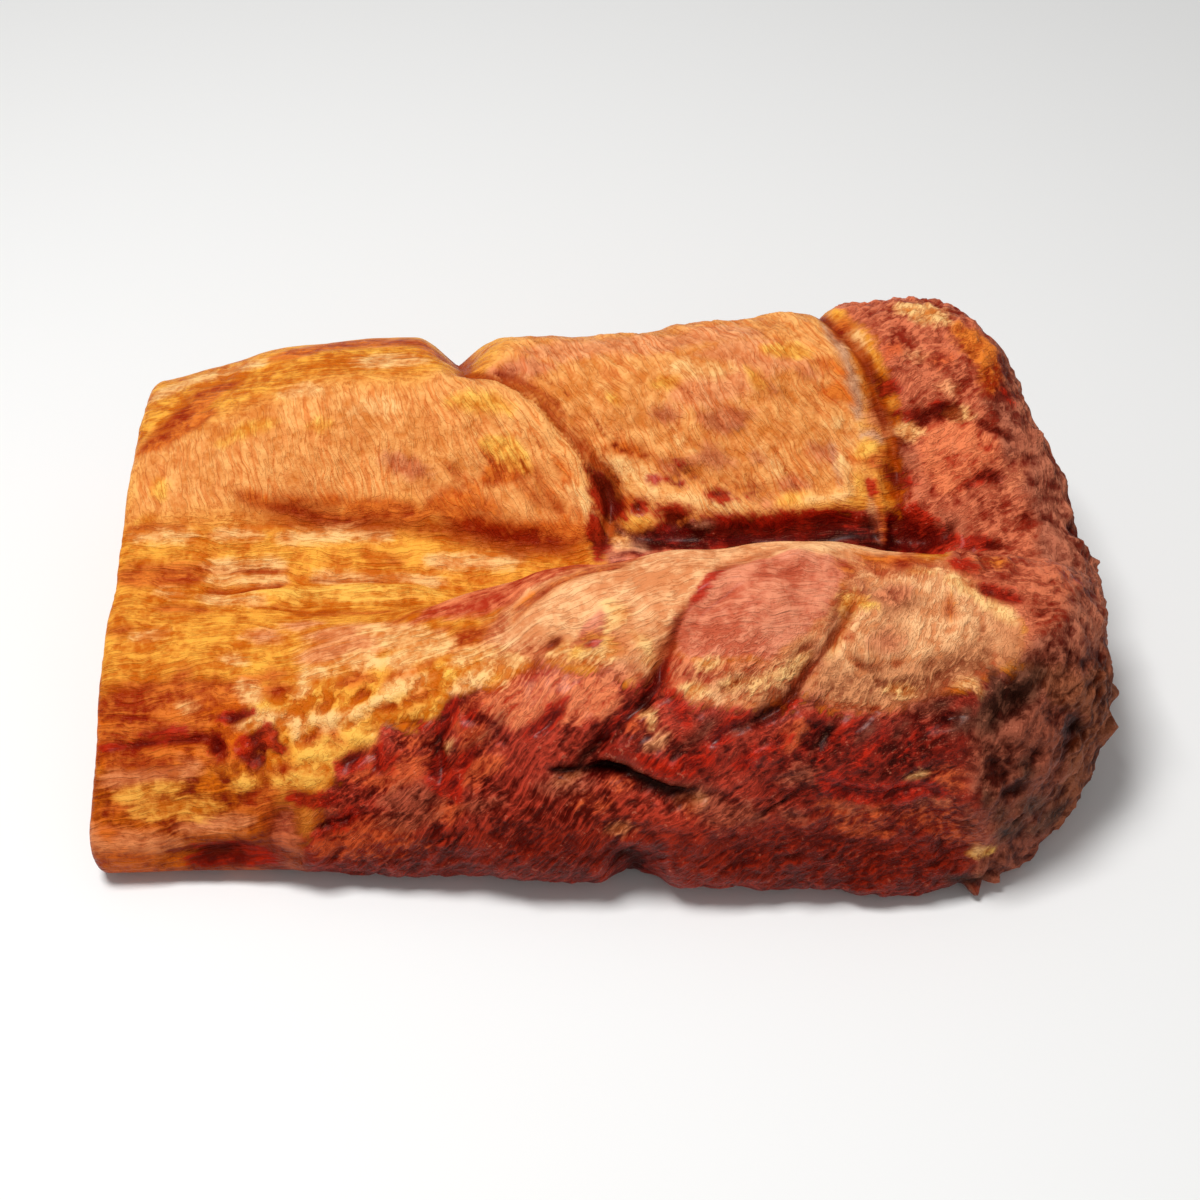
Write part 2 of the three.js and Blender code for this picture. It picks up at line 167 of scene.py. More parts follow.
def skin_points(along, station):
    """The plain loft at each along and station, whose arrays broadcast together, as x, y and z."""
    along, station = np.broadcast_arrays(along, station)
    x = np.interp(along, PROFILE_ALONG, PROFILE_X)
    opening = np.interp(along, PROFILE_ALONG, PROFILE_OPEN)
    ring_y = round_girth(np.stack([keyed(x, KEY_X, ring[1]) for ring in GIRTH]), station)
    ring_z = round_girth(np.stack([keyed(x, KEY_X, ring[2]) for ring in GIRTH]), station)
    core_y, core_z = keyed(x, CORE_X, CORE_Y), keyed(x, CORE_X, CORE_Z)
    open_across = np.where(x > 0, opening**NOSE_PLAN_SQUARENESS, opening)
    y = core_y + open_across * (ring_y - core_y)
    z = core_z + opening * (ring_z - core_z)
    ramp = np.clip((x - NOSE_RAMP_START_X) / (RIGHT_END_X - NOSE_RAMP_START_X), 0, 1) ** NOSE_RAMP_POWER
    back = fall_back(NOSE_BACK, y - NOSE_BACK["from_y"])
    front = fall_back(NOSE_FRONT, NOSE_FRONT["from_y"] - y)
    return np.stack([x - ramp * (back + front), y, np.maximum(z, 0)], -1)


# %% [markdown]
# ## The net of the skin
#
# The camera sees the top and the front, so the columns are closest there and the rows are closest on
# the body. Each end closes in one single point. The underside is flat and plain, so a few columns do.

# %% Rows and columns
# Each span has its start, its end and how many rows or columns it gets.
ROW_SPANS = [
    (ALONG_START, -6.0, 20), (-6.0, 0.0, 7), (0.0, 268.0, 250), (268.0, 322.0, 40),
    (322.0, ALONG_END, 11),
]
COLUMN_SPANS = [(-0.9, 0.9, 10), (0.9, 6.9, 244), (6.9, 9.1, 44)]


def spread(spans):
    """Evenly spaced values over each span, which leaves out the span's end."""
    return np.concatenate([np.linspace(low, high, count, endpoint=False) for low, high, count in spans])


ROWS = spread(ROW_SPANS)[1:]
COLUMNS = spread(COLUMN_SPANS)
N_ROWS, N_COLUMNS = len(ROWS), len(COLUMNS)
print(f"net of {N_ROWS} rows and {N_COLUMNS} columns, {2 * N_ROWS * N_COLUMNS} triangles")


def net_normals(points):
    """Unit normals that point out of the meat, from the cross product of the two steps of the net."""
    lengthwise = np.gradient(points, axis=0)
    girthwise = np.roll(points, -1, 1) - np.roll(points, 1, 1)
    normal = np.cross(lengthwise, girthwise)
    return normal / (np.linalg.norm(normal, axis=-1, keepdims=True) + 1e-9)


LOFT = skin_points(ROWS[:, None], COLUMNS[None, :])
LOFT_NORMALS = net_normals(LOFT)
POINTS, NORMALS = LOFT.reshape(-1, 3), LOFT_NORMALS.reshape(-1, 3)
ALONG = np.repeat(ROWS, N_COLUMNS)
STATION = np.tile(COLUMNS, N_ROWS)

# %% [markdown]
# ## Forms on the skin
#
# Muscles overlap, part along seams and swell. Each form is a path of a few places on the skin with a
# height and a reach. A swell is a rounded ridge, or a hollow where its height is negative. A seam is a
# V-shaped groove. A lap is an edge where the meat on the left of the path, seen from outside, lies over
# the meat on its right. Distances are measured to the path in space, so no form needs a flat map.

# %% Waves and wavering distances
GOLDEN_ANGLE = 2.39996
WAVE_POWER, WAVE_PHASE, WAVE_DIVISOR = 0.8, 1.7, 3


def waves(points, count, longest, shortest):
    """Sum of plane sine waves whose directions turn by the golden angle, from long waves to short. The
    height of a wave is its length, as a share of the longest, to a power."""
    total = np.zeros(len(points))
    for i in range(count):
        up = 1 - 2 * (i + 0.5) / count
        flat = np.sqrt(1 - up * up)
        length = longest * (shortest / longest) ** (i / (count - 1))
        heading = np.array([flat * np.cos(GOLDEN_ANGLE * i), flat * np.sin(GOLDEN_ANGLE * i), up])
        phase = 2 * np.pi * (points @ heading) / length + WAVE_PHASE * i
        total += (length / longest) ** WAVE_POWER * np.sin(phase)
    return total / WAVE_DIVISOR


WOBBLE = waves(POINTS, 20, 45.0, 9.0)
FINE_WOBBLE = waves(POINTS, 24, 16.0, 3.0)
STEPS_PER_SPAN = 6
BOX_SLACK = 8.0


def nearest_on_path(path, near):
    """For the skin points picked by near: the distance to the path, the run along it, its whole
    length, and +1 on its left or -1 on its right, seen from outside."""
    path = np.array(path, float)
    share = np.linspace(0, len(path) - 1, STEPS_PER_SPAN * (len(path) - 1) + 1)
    steps = np.arange(len(path))
    route = skin_points(np.interp(share, steps, path[:, 0]), np.interp(share, steps, path[:, 1]))
    run = np.concatenate([[0], np.cumsum(np.linalg.norm(np.diff(route, axis=0), axis=1))])
    points, normals = POINTS[near], NORMALS[near]
    distance, ran, side = np.full(len(points), 1e9), np.zeros(len(points)), np.zeros(len(points))
    for i in range(len(route) - 1):
        piece = route[i + 1] - route[i]
        away = points - route[i]
        t = np.clip(away @ piece / max(piece @ piece, 1e-9), 0, 1)
        offset = away - t[:, None] * piece
        gap = np.linalg.norm(offset, axis=1)
        closer = gap < distance
        distance[closer] = gap[closer]
        ran[closer] = run[i] + t[closer] * (run[i + 1] - run[i])
        side[closer] = np.sign((np.cross(piece, offset[closer]) * normals[closer]).sum(1))
    return distance, ran, run[-1], side


def near_path(path, reach):
    """Which skin points can lie within reach of the path: a box test round its corners."""
    corners = skin_points(*np.array(path, float).T)
    slack = reach + BOX_SLACK
    return ((POINTS > corners.min(0) - slack) & (POINTS < corners.max(0) + slack)).all(1)


# %% [markdown]
# ## One height for each form
#
# A swollen muscle, a seam and an overlap differ in their cross-section alone. Each could be the stroke of a
# sculpting brush. As a formula of the distance to its path it stays the same at any mesh size, wavers
# like cut meat, and fades out at both tips as a real seam does.

# %% Heights of the forms
LAP_EDGE, LAP_SINK, LAP_SPREAD = 1.3, 0.35, 2.4
SPREAD = 1.6
WAVER_OF_WIDTH = 0.25
FADE_OF_LENGTH, FADE_OF_REACH, FADE_AT_TIP = 0.35, 1.6, 0.1
SWELL_WAVER_MOST, SWELL_WAVER_OF_REACH, SWELL_AT_TIP = 2.5, 0.3, 0.45
SEAM_POWER = 1.5


def form_height(kind, height, reach, path):
    """Height over the plain loft. A swell is a smooth step of the share of its reach, a seam is that
    share to the power 1.5, and a lap is a Gaussian that a short smooth step cuts at the path."""
    result = np.zeros(len(POINTS))
    near = near_path(path, reach * (LAP_SPREAD if kind == "lap" else SPREAD))
    if not near.any():
        return result
    distance, ran, length, side = nearest_on_path(path, near)
    waver = WOBBLE[near]
    wide = reach * (1 + WAVER_OF_WIDTH * waver)
    fade_length = min(FADE_OF_LENGTH * length, FADE_OF_REACH * reach)
    fade = smooth_step(0, 1, np.minimum(ran, length - ran) / fade_length + FADE_AT_TIP)
    if kind == "swell":
        ragged = waver * min(SWELL_WAVER_MOST, SWELL_WAVER_OF_REACH * reach)
        share = 1 - np.maximum(0, distance + ragged) / wide
        result[near] = height * smooth_step(0, 1, share) * (SWELL_AT_TIP + (1 - SWELL_AT_TIP) * fade)
    elif kind == "seam":
        result[near] = -height * np.clip(1 - distance / wide, 0, 1) ** SEAM_POWER * fade
    else:
        edge = smooth_step(-LAP_EDGE, LAP_EDGE, side * distance)
        result[near] = height * fade * np.exp(-((distance / wide) ** 2)) * (edge - LAP_SINK)
    return result


# %% [markdown]
# ## The large forms
#
# These laps, seams and muscles give the ham its shape from a step away. The plain solid has the same
# ones, so the finished skin stays on it. Each is a kind, a height, a reach and the places that its path
# runs through, all in millimetres but for the stations.

# %% The main forms, as in the solid
FORMS = [
    # The golden back lobe over the middle lobe, and the same joint on over the back.
    ("lap", 4.5, 12, [(148, 5.18), (148, 5.3), (149, 5.42), (147.5, 5.49), (143.5, 5.56), (140, 5.64),
                      (137, 5.69), (133, 5.76), (129, 5.83), (123.5, 5.92), (117, 6.04), (111, 6.14),
                      (104, 6.25)]),
    ("seam", 3.5, 9, [(96, 8.3), (98, 7.4), (100, 6.9), (102, 6.5), (104, 6.25), (113, 6.1), (125, 5.9)]),
    ("swell", -6.5, 15, [(97, 7.6), (99, 7.2), (101, 6.8), (103, 6.5), (105, 6.28)]),
    # The golden dome, its back edge and its foot along the valley.
    ("swell", 2, 30, [(8, 6), (38, 6), (68, 6.1), (93, 6)]),
    ("swell", 1.8, 20, [(20, 6.9), (43, 6.9), (68, 6.95), (83, 6.8)]),
    ("swell", -2.5, 9, [(38, 5.4), (68, 5.36), (98, 5.33), (123, 5.26), (144, 5.23)]),
    # The middle and right lobes of the back, and the groove between them.
    ("swell", 2, 22, [(122, 6.6), (150, 6.7), (185, 6.75), (212, 6.6)]),
    ("seam", 5, 9, [(218, 8.2), (220, 7.4), (224, 6.8), (227, 6.5), (231, 6.24), (236, 5.98), (238, 5.85),
                    (240, 5.72), (243, 5.6), (243, 5.42), (243, 5.25)]),
    ("swell", 1, 18, [(248, 6.7), (262, 6.6), (278, 6.35)]),
    ("swell", 2, 14, [(258, 5.55), (270, 5.52)]),
    ("seam", 3, 6, [(244, 5.66), (253, 5.66), (260, 5.69), (270, 5.71)]),
    # The fringe of the middle lobe and the gap under it, down to the valley.
    ("swell", -4, 8, [(150, 5.3), (165, 5.28), (190, 5.27), (215, 5.28), (236, 5.26), (256, 5.2)]),
    ("swell", 2.2, 6, [(157, 5.5), (170, 5.45), (185, 5.41), (205, 5.38), (228, 5.39)]),
    ("swell", -5, 8, [(146, 5.55), (151, 5.44), (149, 5.32)]),
    # The tendon in the valley and the lean ridge that it runs into.
    ("swell", 2.5, 6, [(34, 4.77), (50, 4.83), (60, 4.87), (70, 4.9), (80, 4.91), (90, 4.9), (98, 4.85)]),
    ("swell", 2.5, 14, [(95, 4.25), (110, 4.3), (125, 4.35), (140, 4.3)]),
    # The muscles of the front lobe and the seams between them.
    ("swell", 3, 22, [(184, 3.57), (205, 3.62)]),
    ("swell", 2.5, 24, [(228, 3.5), (246, 3.5), (258, 3.55)]),
    ("swell", 2.5, 20, [(118, 3.1), (133, 3.15), (143, 3.2)]),
    ("seam", 4, 7, [(206, 3.88), (195, 3.82), (184, 3.74), (172, 3.58), (164, 3.33), (164, 3.22),
                    (158, 3.1), (150, 2.95), (141, 2.76)]),
    ("seam", 3, 7, [(219, 3.72), (217, 3.55), (214.5, 3.46), (208.5, 3.35), (204, 3.15), (196, 3.03),
                    (190, 2.97)]),
    ("seam", 4, 5, [(214.5, 3.02), (212, 2.9), (208, 2.79)]),
    ("seam", 3, 5, [(106, 3.36), (101.5, 3.22), (100, 3.05), (101, 2.9), (101, 2.68)]),
    # The open crack in the lean meat.
    ("lap", 3.5, 9, [(141, 2.71), (147, 2.76), (155, 2.71), (161, 2.63), (167, 2.56), (172.5, 2.54),
                     (178, 2.59)]),
    ("seam", 3, 6, [(141, 2.68), (147, 2.73), (155, 2.68), (161, 2.6), (167, 2.535), (172.5, 2.51),
                    (178, 2.56)]),
    # The rough edge where the front turns into the blunt right end.
    ("swell", 2.5, 12, [(269, 3.72), (268, 3.55), (263.5, 3.38), (260, 3.2), (260, 3.0), (264.5, 2.65),
                        (272, 2.27), (279, 1.9)]),
    # The front foot: its notch, the bulges beside it, and the undercut left end.
    ("swell", -8, 11, [(158, 2.1), (158, 1.75), (158, 1.45), (158, 1.1)]),
    ("swell", 1.5, 18, [(110, 1.7), (128, 1.65), (145, 1.7)]),
    ("swell", 2, 16, [(176, 1.55), (190, 1.5), (205, 1.55)]),
    ("swell", -4, 9, [(22, 1.9), (34, 1.9), (46, 1.95)]),
    ("swell", 2, 9, [(58, 1.9), (60, 2.2), (62, 1.6)]),
    ("swell", -2, 10, [(43, 3.15), (50, 3.13)]),
    # The muscles of the back.
    ("seam", 4, 10, [(150, 8.1), (176, 8.4), (205, 8.3), (236, 8.6)]),
    ("seam", 3, 9, [(28, 8.2), (50, 8.5), (76, 8.45), (100, 8.7)]),
    ("swell", 2, 22, [(120, 8.7), (150, 8.9), (180, 9.0)]),
]
form_heights = sum(form_height(*form) for form in FORMS)
print(f"{len(FORMS)} main forms, from {form_heights.min():.1f} to {form_heights.max():.1f} mm")

# %% [markdown]
# ## Small relief
#
# Cracks, wrinkles and loose ends are forms of the same three kinds, only smaller. They are kept apart
# from the main forms because they are too fine to count in the shape of the whole.

# %% Cracks, wrinkles and loose ends
DETAILS = [
    # The top of the pink muscle lies almost level with the fascia.
    ("swell", 2.4, 6.0, [(212, 3.9), (204, 3.87), (195, 3.82), (184, 3.74), (176, 3.64)]),
    # The seam beside it and the crack under it are shallow in their upper parts.
    ("swell", 3.2, 5.0, [(204, 3.87), (194, 3.82), (184, 3.74), (174, 3.62), (168, 3.48)]),
    ("swell", 2.2, 3.0, [(214, 2.98), (212, 2.9), (209, 2.82)]),
    # Folds of the dome and of the middle lobe beside its edge.
    ("seam", 1.3, 2.2, [(136, 5.86), (129, 5.97), (121, 6.1), (112, 6.24)]),
    ("seam", 1.1, 2.0, [(140, 5.9), (133, 6.02), (125, 6.15)]),
    ("seam", 1.0, 2.0, [(131, 5.62), (126, 5.72), (119, 5.84), (112, 5.96)]),
    ("seam", 0.9, 1.8, [(126, 5.55), (121, 5.64), (115, 5.74)]),
    ("seam", 0.8, 1.8, [(120, 5.5), (115, 5.58), (109, 5.68)]),
    ("seam", 1.2, 2.5, [(114, 5.98), (122, 5.86), (128, 5.75)]),
    ("seam", 1.4, 2.5, [(141, 5.72), (146, 5.62), (151, 5.55), (155, 5.5)]),
    ("seam", 1.0, 2.0, [(145, 5.8), (150, 5.7), (156, 5.62)]),
    ("seam", 1.2, 2.0, [(150, 5.68), (157, 5.64), (164, 5.62)]),
    ("seam", 1.4, 2.5, [(168, 5.62), (173, 5.56), (178, 5.52)]),
    ("seam", 1.2, 2.2, [(162, 5.51), (168, 5.5), (175, 5.47)]),
    ("seam", 1.0, 2.0, [(176, 5.47), (184, 5.45), (192, 5.46), (200, 5.47)]),
    ("seam", 1.0, 2.0, [(190, 5.4), (198, 5.42), (206, 5.45)]),
    ("swell", 1.2, 5.0, [(176, 5.58), (182, 5.6), (189, 5.57)]),
    ("swell", -3.0, 3.5, [(158, 5.42), (161, 5.41)]),
    ("swell", -2.5, 4.0, [(168, 5.36), (174, 5.36)]),
    ("swell", 1.5, 3.0, [(150, 5.29), (156, 5.27)]),
    ("seam", 1.2, 2.5, [(203, 5.62), (208, 5.5), (212, 5.42)]),
    # Strands and lumps in the cross groove.
    ("swell", 2.0, 2.5, [(236, 5.5), (237, 5.38), (238, 5.22)]),
    ("swell", 1.8, 2.0, [(225, 5.6), (226, 5.5), (227, 5.4)]),
    ("swell", 2.0, 4.5, [(233, 5.56), (238, 5.56)]),
    ("swell", 1.8, 4.0, [(245, 5.63), (250, 5.62)]),
    ("swell", 1.5, 4.0, [(245, 5.55), (248, 5.52)]),
    ("swell", 1.6, 3.0, [(242, 5.46), (245, 5.42)]),
    ("swell", 1.6, 3.0, [(247, 5.42), (250, 5.38)]),
    ("swell", 1.6, 3.0, [(244, 5.35), (248, 5.32)]),
    ("swell", -3.0, 7.0, [(243, 5.18), (250, 5.17), (256, 5.19)]),
    ("swell", -2.5, 4.0, [(268, 5.1), (274, 5.08)]),
    ("seam", 1.6, 3.0, [(258, 5.36), (266, 5.4), (272, 5.44), (277, 5.42)]),
    ("seam", 1.5, 2.5, [(270, 5.68), (278, 5.62), (284, 5.58)]),
    # The tendon and the folds beside it.
    ("seam", 1.0, 2.0, [(22, 4.86), (32, 4.85), (42, 4.88), (49, 4.93)]),
    ("seam", 0.9, 2.0, [(55, 5.0), (70, 5.01), (86, 5.0)]),
    ("seam", 0.8, 2.0, [(0, 5.03), (15, 5.02), (30, 5.05), (46, 5.05)]),
    ("seam", 0.8, 2.0, [(36, 4.68), (48, 4.63), (60, 4.6)]),
    # The torn fat and the spots on the left of the front.
    ("seam", 1.3, 2.5, [(0, 3.27), (12, 3.28), (24, 3.28), (31, 3.3)]),
    ("swell", -2.5, 3.5, [(32, 3.28), (35, 3.16)]),
    ("seam", 1.2, 2.5, [(34, 3.43), (40, 3.42), (46, 3.46)]),
    ("swell", 1.6, 4.0, [(60, 3.05), (70, 3.07)]),
    ("swell", 1.8, 4.0, [(57, 2.86), (66, 2.85)]),
    ("swell", 1.5, 3.5, [(73, 3.2), (80, 3.17)]),
    ("swell", 1.2, 3.0, [(45, 3.47), (54, 3.45)]),
    ("swell", 1.4, 3.5, [(41, 2.85), (45, 2.83)]),
    ("swell", 1.2, 3.0, [(62, 3.34), (72, 3.32), (80, 3.42), (92, 3.5)]),
    ("seam", 1.5, 2.5, [(70, 2.95), (76, 3.02), (82, 3.08)]),
    ("seam", 1.3, 2.5, [(82, 3.1), (82, 2.95), (84, 2.82)]),
    ("seam", 1.4, 2.5, [(62, 2.3), (68, 2.38), (74, 2.43), (82, 2.5)]),
    ("seam", 1.3, 2.5, [(84, 3.28), (92, 3.25), (100, 3.26)]),
    ("swell", -1.5, 3.0, [(132, 3.53), (136, 3.55)]),
    ("swell", 1.2, 2.5, [(141, 3.44), (148, 3.45)]),
    ("swell", 1.3, 5.0, [(142, 3.58), (149, 3.6)]),
    ("seam", 0.9, 1.8, [(122, 3.84), (130, 3.92), (142, 3.97), (155, 3.98)]),
    ("seam", 0.8, 1.6, [(121, 3.76), (127, 3.85), (133, 3.92)]),
    ("swell", 1.3, 2.0, [(103, 3.03), (106, 3.05)]),
    ("swell", 1.2, 3.0, [(154, 3.03), (161, 3.02)]),
    ("swell", 1.0, 1.8, [(161, 2.87), (166, 2.9)]),
    # Wrinkles and cracks of the lean on the right of the front.
    ("seam", 1.5, 2.5, [(127, 3.0), (133, 3.08), (138, 3.18)]),
    ("seam", 1.0, 2.0, [(106, 2.92), (114, 2.97), (122, 3.05)]),
    ("seam", 1.6, 2.5, [(178, 2.83), (184, 2.92), (190, 3.0)]),
    ("seam", 1.6, 2.5, [(190, 2.97), (196, 3.03), (203, 3.1)]),
    ("seam", 1.0, 2.0, [(222, 2.92), (226, 3.0), (228, 3.06)]),
    ("seam", 1.8, 3.0, [(214, 2.62), (225, 2.52), (233, 2.48), (241, 2.53), (249, 2.58), (257, 2.53)]),
    ("seam", 1.2, 2.5, [(166, 2.38), (176, 2.46), (186, 2.5)]),
    ("seam", 1.2, 2.5, [(195, 2.3), (204, 2.45), (210, 2.58)]),
    ("swell", 1.3, 4.0, [(172, 2.44), (179, 2.42)]),
    ("swell", 1.5, 2.5, [(254, 3.24), (258, 3.22), (260, 3.14)]),
    ("swell", -2.0, 3.0, [(250, 3.07), (256, 3.07)]),
    ("seam", 1.2, 2.2, [(218, 3.33), (226, 3.3), (234, 3.33), (239, 3.4)]),
    ("seam", 1.3, 2.2, [(206, 3.12), (214, 3.1), (222, 3.1), (232, 3.07)]),
    ("seam", 1.0, 2.0, [(226, 3.25), (236, 3.2), (248, 3.2)]),
    ("seam", 1.3, 2.5, [(253, 3.8), (259, 3.75), (266, 3.74), (272, 3.7)]),
    # Wrinkles of the second tan muscle, round it and across its tip.
    ("seam", 0.9, 1.9, [(221, 3.5), (224, 3.4), (230, 3.33), (238, 3.32), (246, 3.36)]),
    ("seam", 0.8, 1.8, [(218, 3.38), (224, 3.28), (232, 3.22), (241, 3.24), (250, 3.32)]),
    ("seam", 0.8, 1.8, [(214, 3.2), (222, 3.15), (232, 3.13), (240, 3.16)]),
    ("seam", 0.8, 1.8, [(227, 3.62), (231, 3.53), (238, 3.5)]),
    ("seam", 0.8, 1.6, [(247, 3.72), (249, 3.6), (248, 3.48)]),
    ("seam", 0.8, 1.6, [(252, 3.7), (254, 3.57), (252, 3.45)]),
    ("seam", 0.8, 1.6, [(257, 3.66), (258.5, 3.54), (256, 3.42)]),
    ("seam", 0.8, 1.6, [(261, 3.6), (262, 3.5), (259, 3.4)]),
    # The crumpled band between the two tan muscles.
    ("seam", 1.2, 1.6, [(222, 3.66), (219, 3.53), (214, 3.4), (209, 3.28), (204, 3.18)]),
    ("swell", 1.2, 1.6, [(219, 3.66), (216, 3.52), (211, 3.4), (205, 3.29)]),
    ("seam", 0.9, 1.6, [(209, 3.42), (202, 3.31), (194, 3.23), (184, 3.2)]),
    ("seam", 0.8, 1.5, [(206, 3.3), (199, 3.22), (190, 3.17)]),
    # The crack and the seam above it run out to a point, and the notch below is shallow at its top.
    ("seam", 3.0, 3.0, [(131, 2.75), (137, 2.72), (143, 2.71), (149, 2.72), (156, 2.67)]),
    ("seam", 2.2, 2.5, [(150, 2.97), (146, 2.88), (142, 2.79), (140, 2.72)]),
    ("swell", 3.5, 8.0, [(158, 2.25), (158, 1.95), (158, 1.7)]),
    # Folds and seams of the back.
    ("seam", 1.6, 3.0, [(112, 7.1), (130, 7.3), (150, 7.35), (170, 7.2)]),
    ("seam", 1.4, 2.6, [(150, 7.75), (172, 7.85), (192, 7.7), (210, 7.75)]),
    ("seam", 1.4, 2.6, [(4, 7.2), (22, 7.3), (44, 7.2), (62, 7.25)]),
    ("seam", 1.2, 2.4, [(30, 7.75), (52, 7.8), (72, 7.65), (90, 7.7)]),
    ("seam", 1.4, 2.6, [(-2, 8.0), (12, 8.1), (26, 8.05)]),
    ("swell", 1.6, 9.0, [(128, 7.5), (146, 7.55), (160, 7.5)]),
    ("swell", 1.6, 8.0, [(182, 7.45), (200, 7.5)]),
    ("swell", 1.5, 8.0, [(40, 7.5), (60, 7.5)]),
    ("swell", -1.8, 6.0, [(176, 8.05), (186, 8.0)]),
    ("seam", 1.6, 3.0, [(232, 7.6), (246, 7.7), (262, 7.5), (276, 7.6)]),
    ("seam", 1.6, 3.0, [(236, 8.3), (252, 8.4), (270, 8.3)]),
    ("swell", 1.8, 7.0, [(248, 7.2), (262, 7.1)]),
    # Loose ends on the torn right end.
    ("swell", 4.2, 2.6, [(277, 1.28), (279, 1.2)]),
    ("swell", 3.2, 2.4, [(284, 1.3), (285, 1.22)]),
    ("swell", 2.0, 2.5, [(306, 3.56), (306, 3.48)]),
    ("swell", 2.6, 3.5, [(302, 3.38), (304, 3.28)]),
    ("swell", 4.0, 7.0, [(326, 2.3), (328, 1.9)]),
    ("swell", 2.4, 5.0, [(326, 3.0), (330, 2.7)]),
    ("swell", 2.0, 3.5, [(307, 5.47), (309, 5.42)]),
    ("swell", 2.2, 3.0, [(317, 5.22), (319, 5.17)]),
    ("swell", -3.0, 5.0, [(283, 2.85), (286, 2.7)]),
    ("swell", -3.0, 6.0, [(296, 3.0), (300, 2.85)]),
]
detail_heights = sum(form_height(*form) for form in DETAILS)
print(f"{len(DETAILS)} small forms, from {detail_heights.min():.1f} to {detail_heights.max():.1f} mm")

# %% [markdown]
# ## The lie of the fibres
#
# Muscle runs in bundles. They lie across the golden dome, fall to the right on the middle lobe, rise to
# the right on the lean front, stand upright on the blunt end and run lengthwise everywhere else. A zone
# is a closed outline on the skin; its value is the distance inside it, which fades one grain into the
# next. The bundles are noise that is stretched along the grain, folded at zero so that the bundles come
# out round and the gaps between them sharp.

# %% Zones and noise
ZONE_REACH = 40.0


def zone_distance(outline, corners=()):
    """Distance in mm from the outline, positive inside. The corners close it where it has no real edge."""
    closed = list(outline) + list(corners) + [outline[0]]
    loop = np.array(closed, float)
    inside = np.zeros(len(POINTS), bool)
    station = np.mod(STATION, STATIONS)
    for (a0, s0), (a1, s1) in zip(loop[:-1], loop[1:]):
        if s0 != s1:
            crossing = (s0 > station) != (s1 > station)
            inside ^= crossing & (ALONG < (a1 - a0) * (station - s0) / (s1 - s0) + a0)
    path = list(outline) if corners else closed
    distance = np.full(len(POINTS), ZONE_REACH)
    near = near_path(path, ZONE_REACH)
    distance[near] = np.minimum(distance[near], nearest_on_path(path, near)[0])
    return np.where(inside, distance, -distance)


CORNER_PRIMES, SEED_PRIME = np.array([73856093, 19349663, 83492791]), 7919
FIRST_MIX, SECOND_MIX, WHOLE_RANGE = 1274126177, 668265263, 0x7FFFFFFF


def lattice_noise(places, seed=0):
    """Smooth noise from -1 to 1: a hashed value at each whole-number corner, blended by 3t^2 - 2t^3."""
    cell = np.floor(places).astype(np.int64)
    t = places - cell
    t = t * t * (3 - 2 * t)
    total = np.zeros(len(places))
    for corner in np.ndindex(2, 2, 2):
        key = (cell + np.array(corner)) @ CORNER_PRIMES + SEED_PRIME * seed
        key = (key ^ (key >> 13)) * FIRST_MIX & WHOLE_RANGE
        key = (key ^ (key >> 15)) * SECOND_MIX & WHOLE_RANGE
        total += (key / (WHOLE_RANGE // 2) - 1) * np.prod(np.where(corner, t, 1 - t), axis=1)
    return total


girth_steps = np.linalg.norm(np.diff(LOFT, axis=1), axis=2)
girth_run = np.concatenate([np.zeros((N_ROWS, 1)), np.cumsum(girth_steps, axis=1)], axis=1)
valley_column = int(np.argmin(abs(COLUMNS - VALLEY_STATION)))
GIRTH_MM = girth_run - girth_run[:, valley_column:valley_column + 1]
BUNDLE_SWAY = dict(along=3.0, over=2.5, over_fine=0.8)
SECOND_LAYER_SHARE, SECOND_LAYER_SCALE = 0.5, 2.1


def bundles(angle, across, length, seed):
    """Round bundles from 0 to 1: the size of noise in skin coordinates turned by angle degrees, one
    noise cell measuring length along the grain and across over it, plus a half-size second layer."""
    turn = np.radians(angle)
    u, v = ALONG, GIRTH_MM.ravel()
    along_grain = u * np.cos(turn) + v * np.sin(turn) + BUNDLE_SWAY["along"] * WOBBLE
    over_grain = v * np.cos(turn) - u * np.sin(turn) + BUNDLE_SWAY["over"] * WOBBLE
    over_grain += BUNDLE_SWAY["over_fine"] * FINE_WOBBLE
    places = np.stack([along_grain / length, over_grain / across, np.zeros(len(u))], -1)
    second_layer = abs(lattice_noise(SECOND_LAYER_SCALE * places, seed + 1))
    return abs(lattice_noise(places, seed)) + SECOND_LAYER_SHARE * second_layer


# %% [markdown]
# ## Where each grain holds
#
# Each muscle has its own grain and ends at a fascia. Borders drawn on the mesh would be lost with the
# mesh, so each is an outline on the skin, and one grain fades into the next across it.

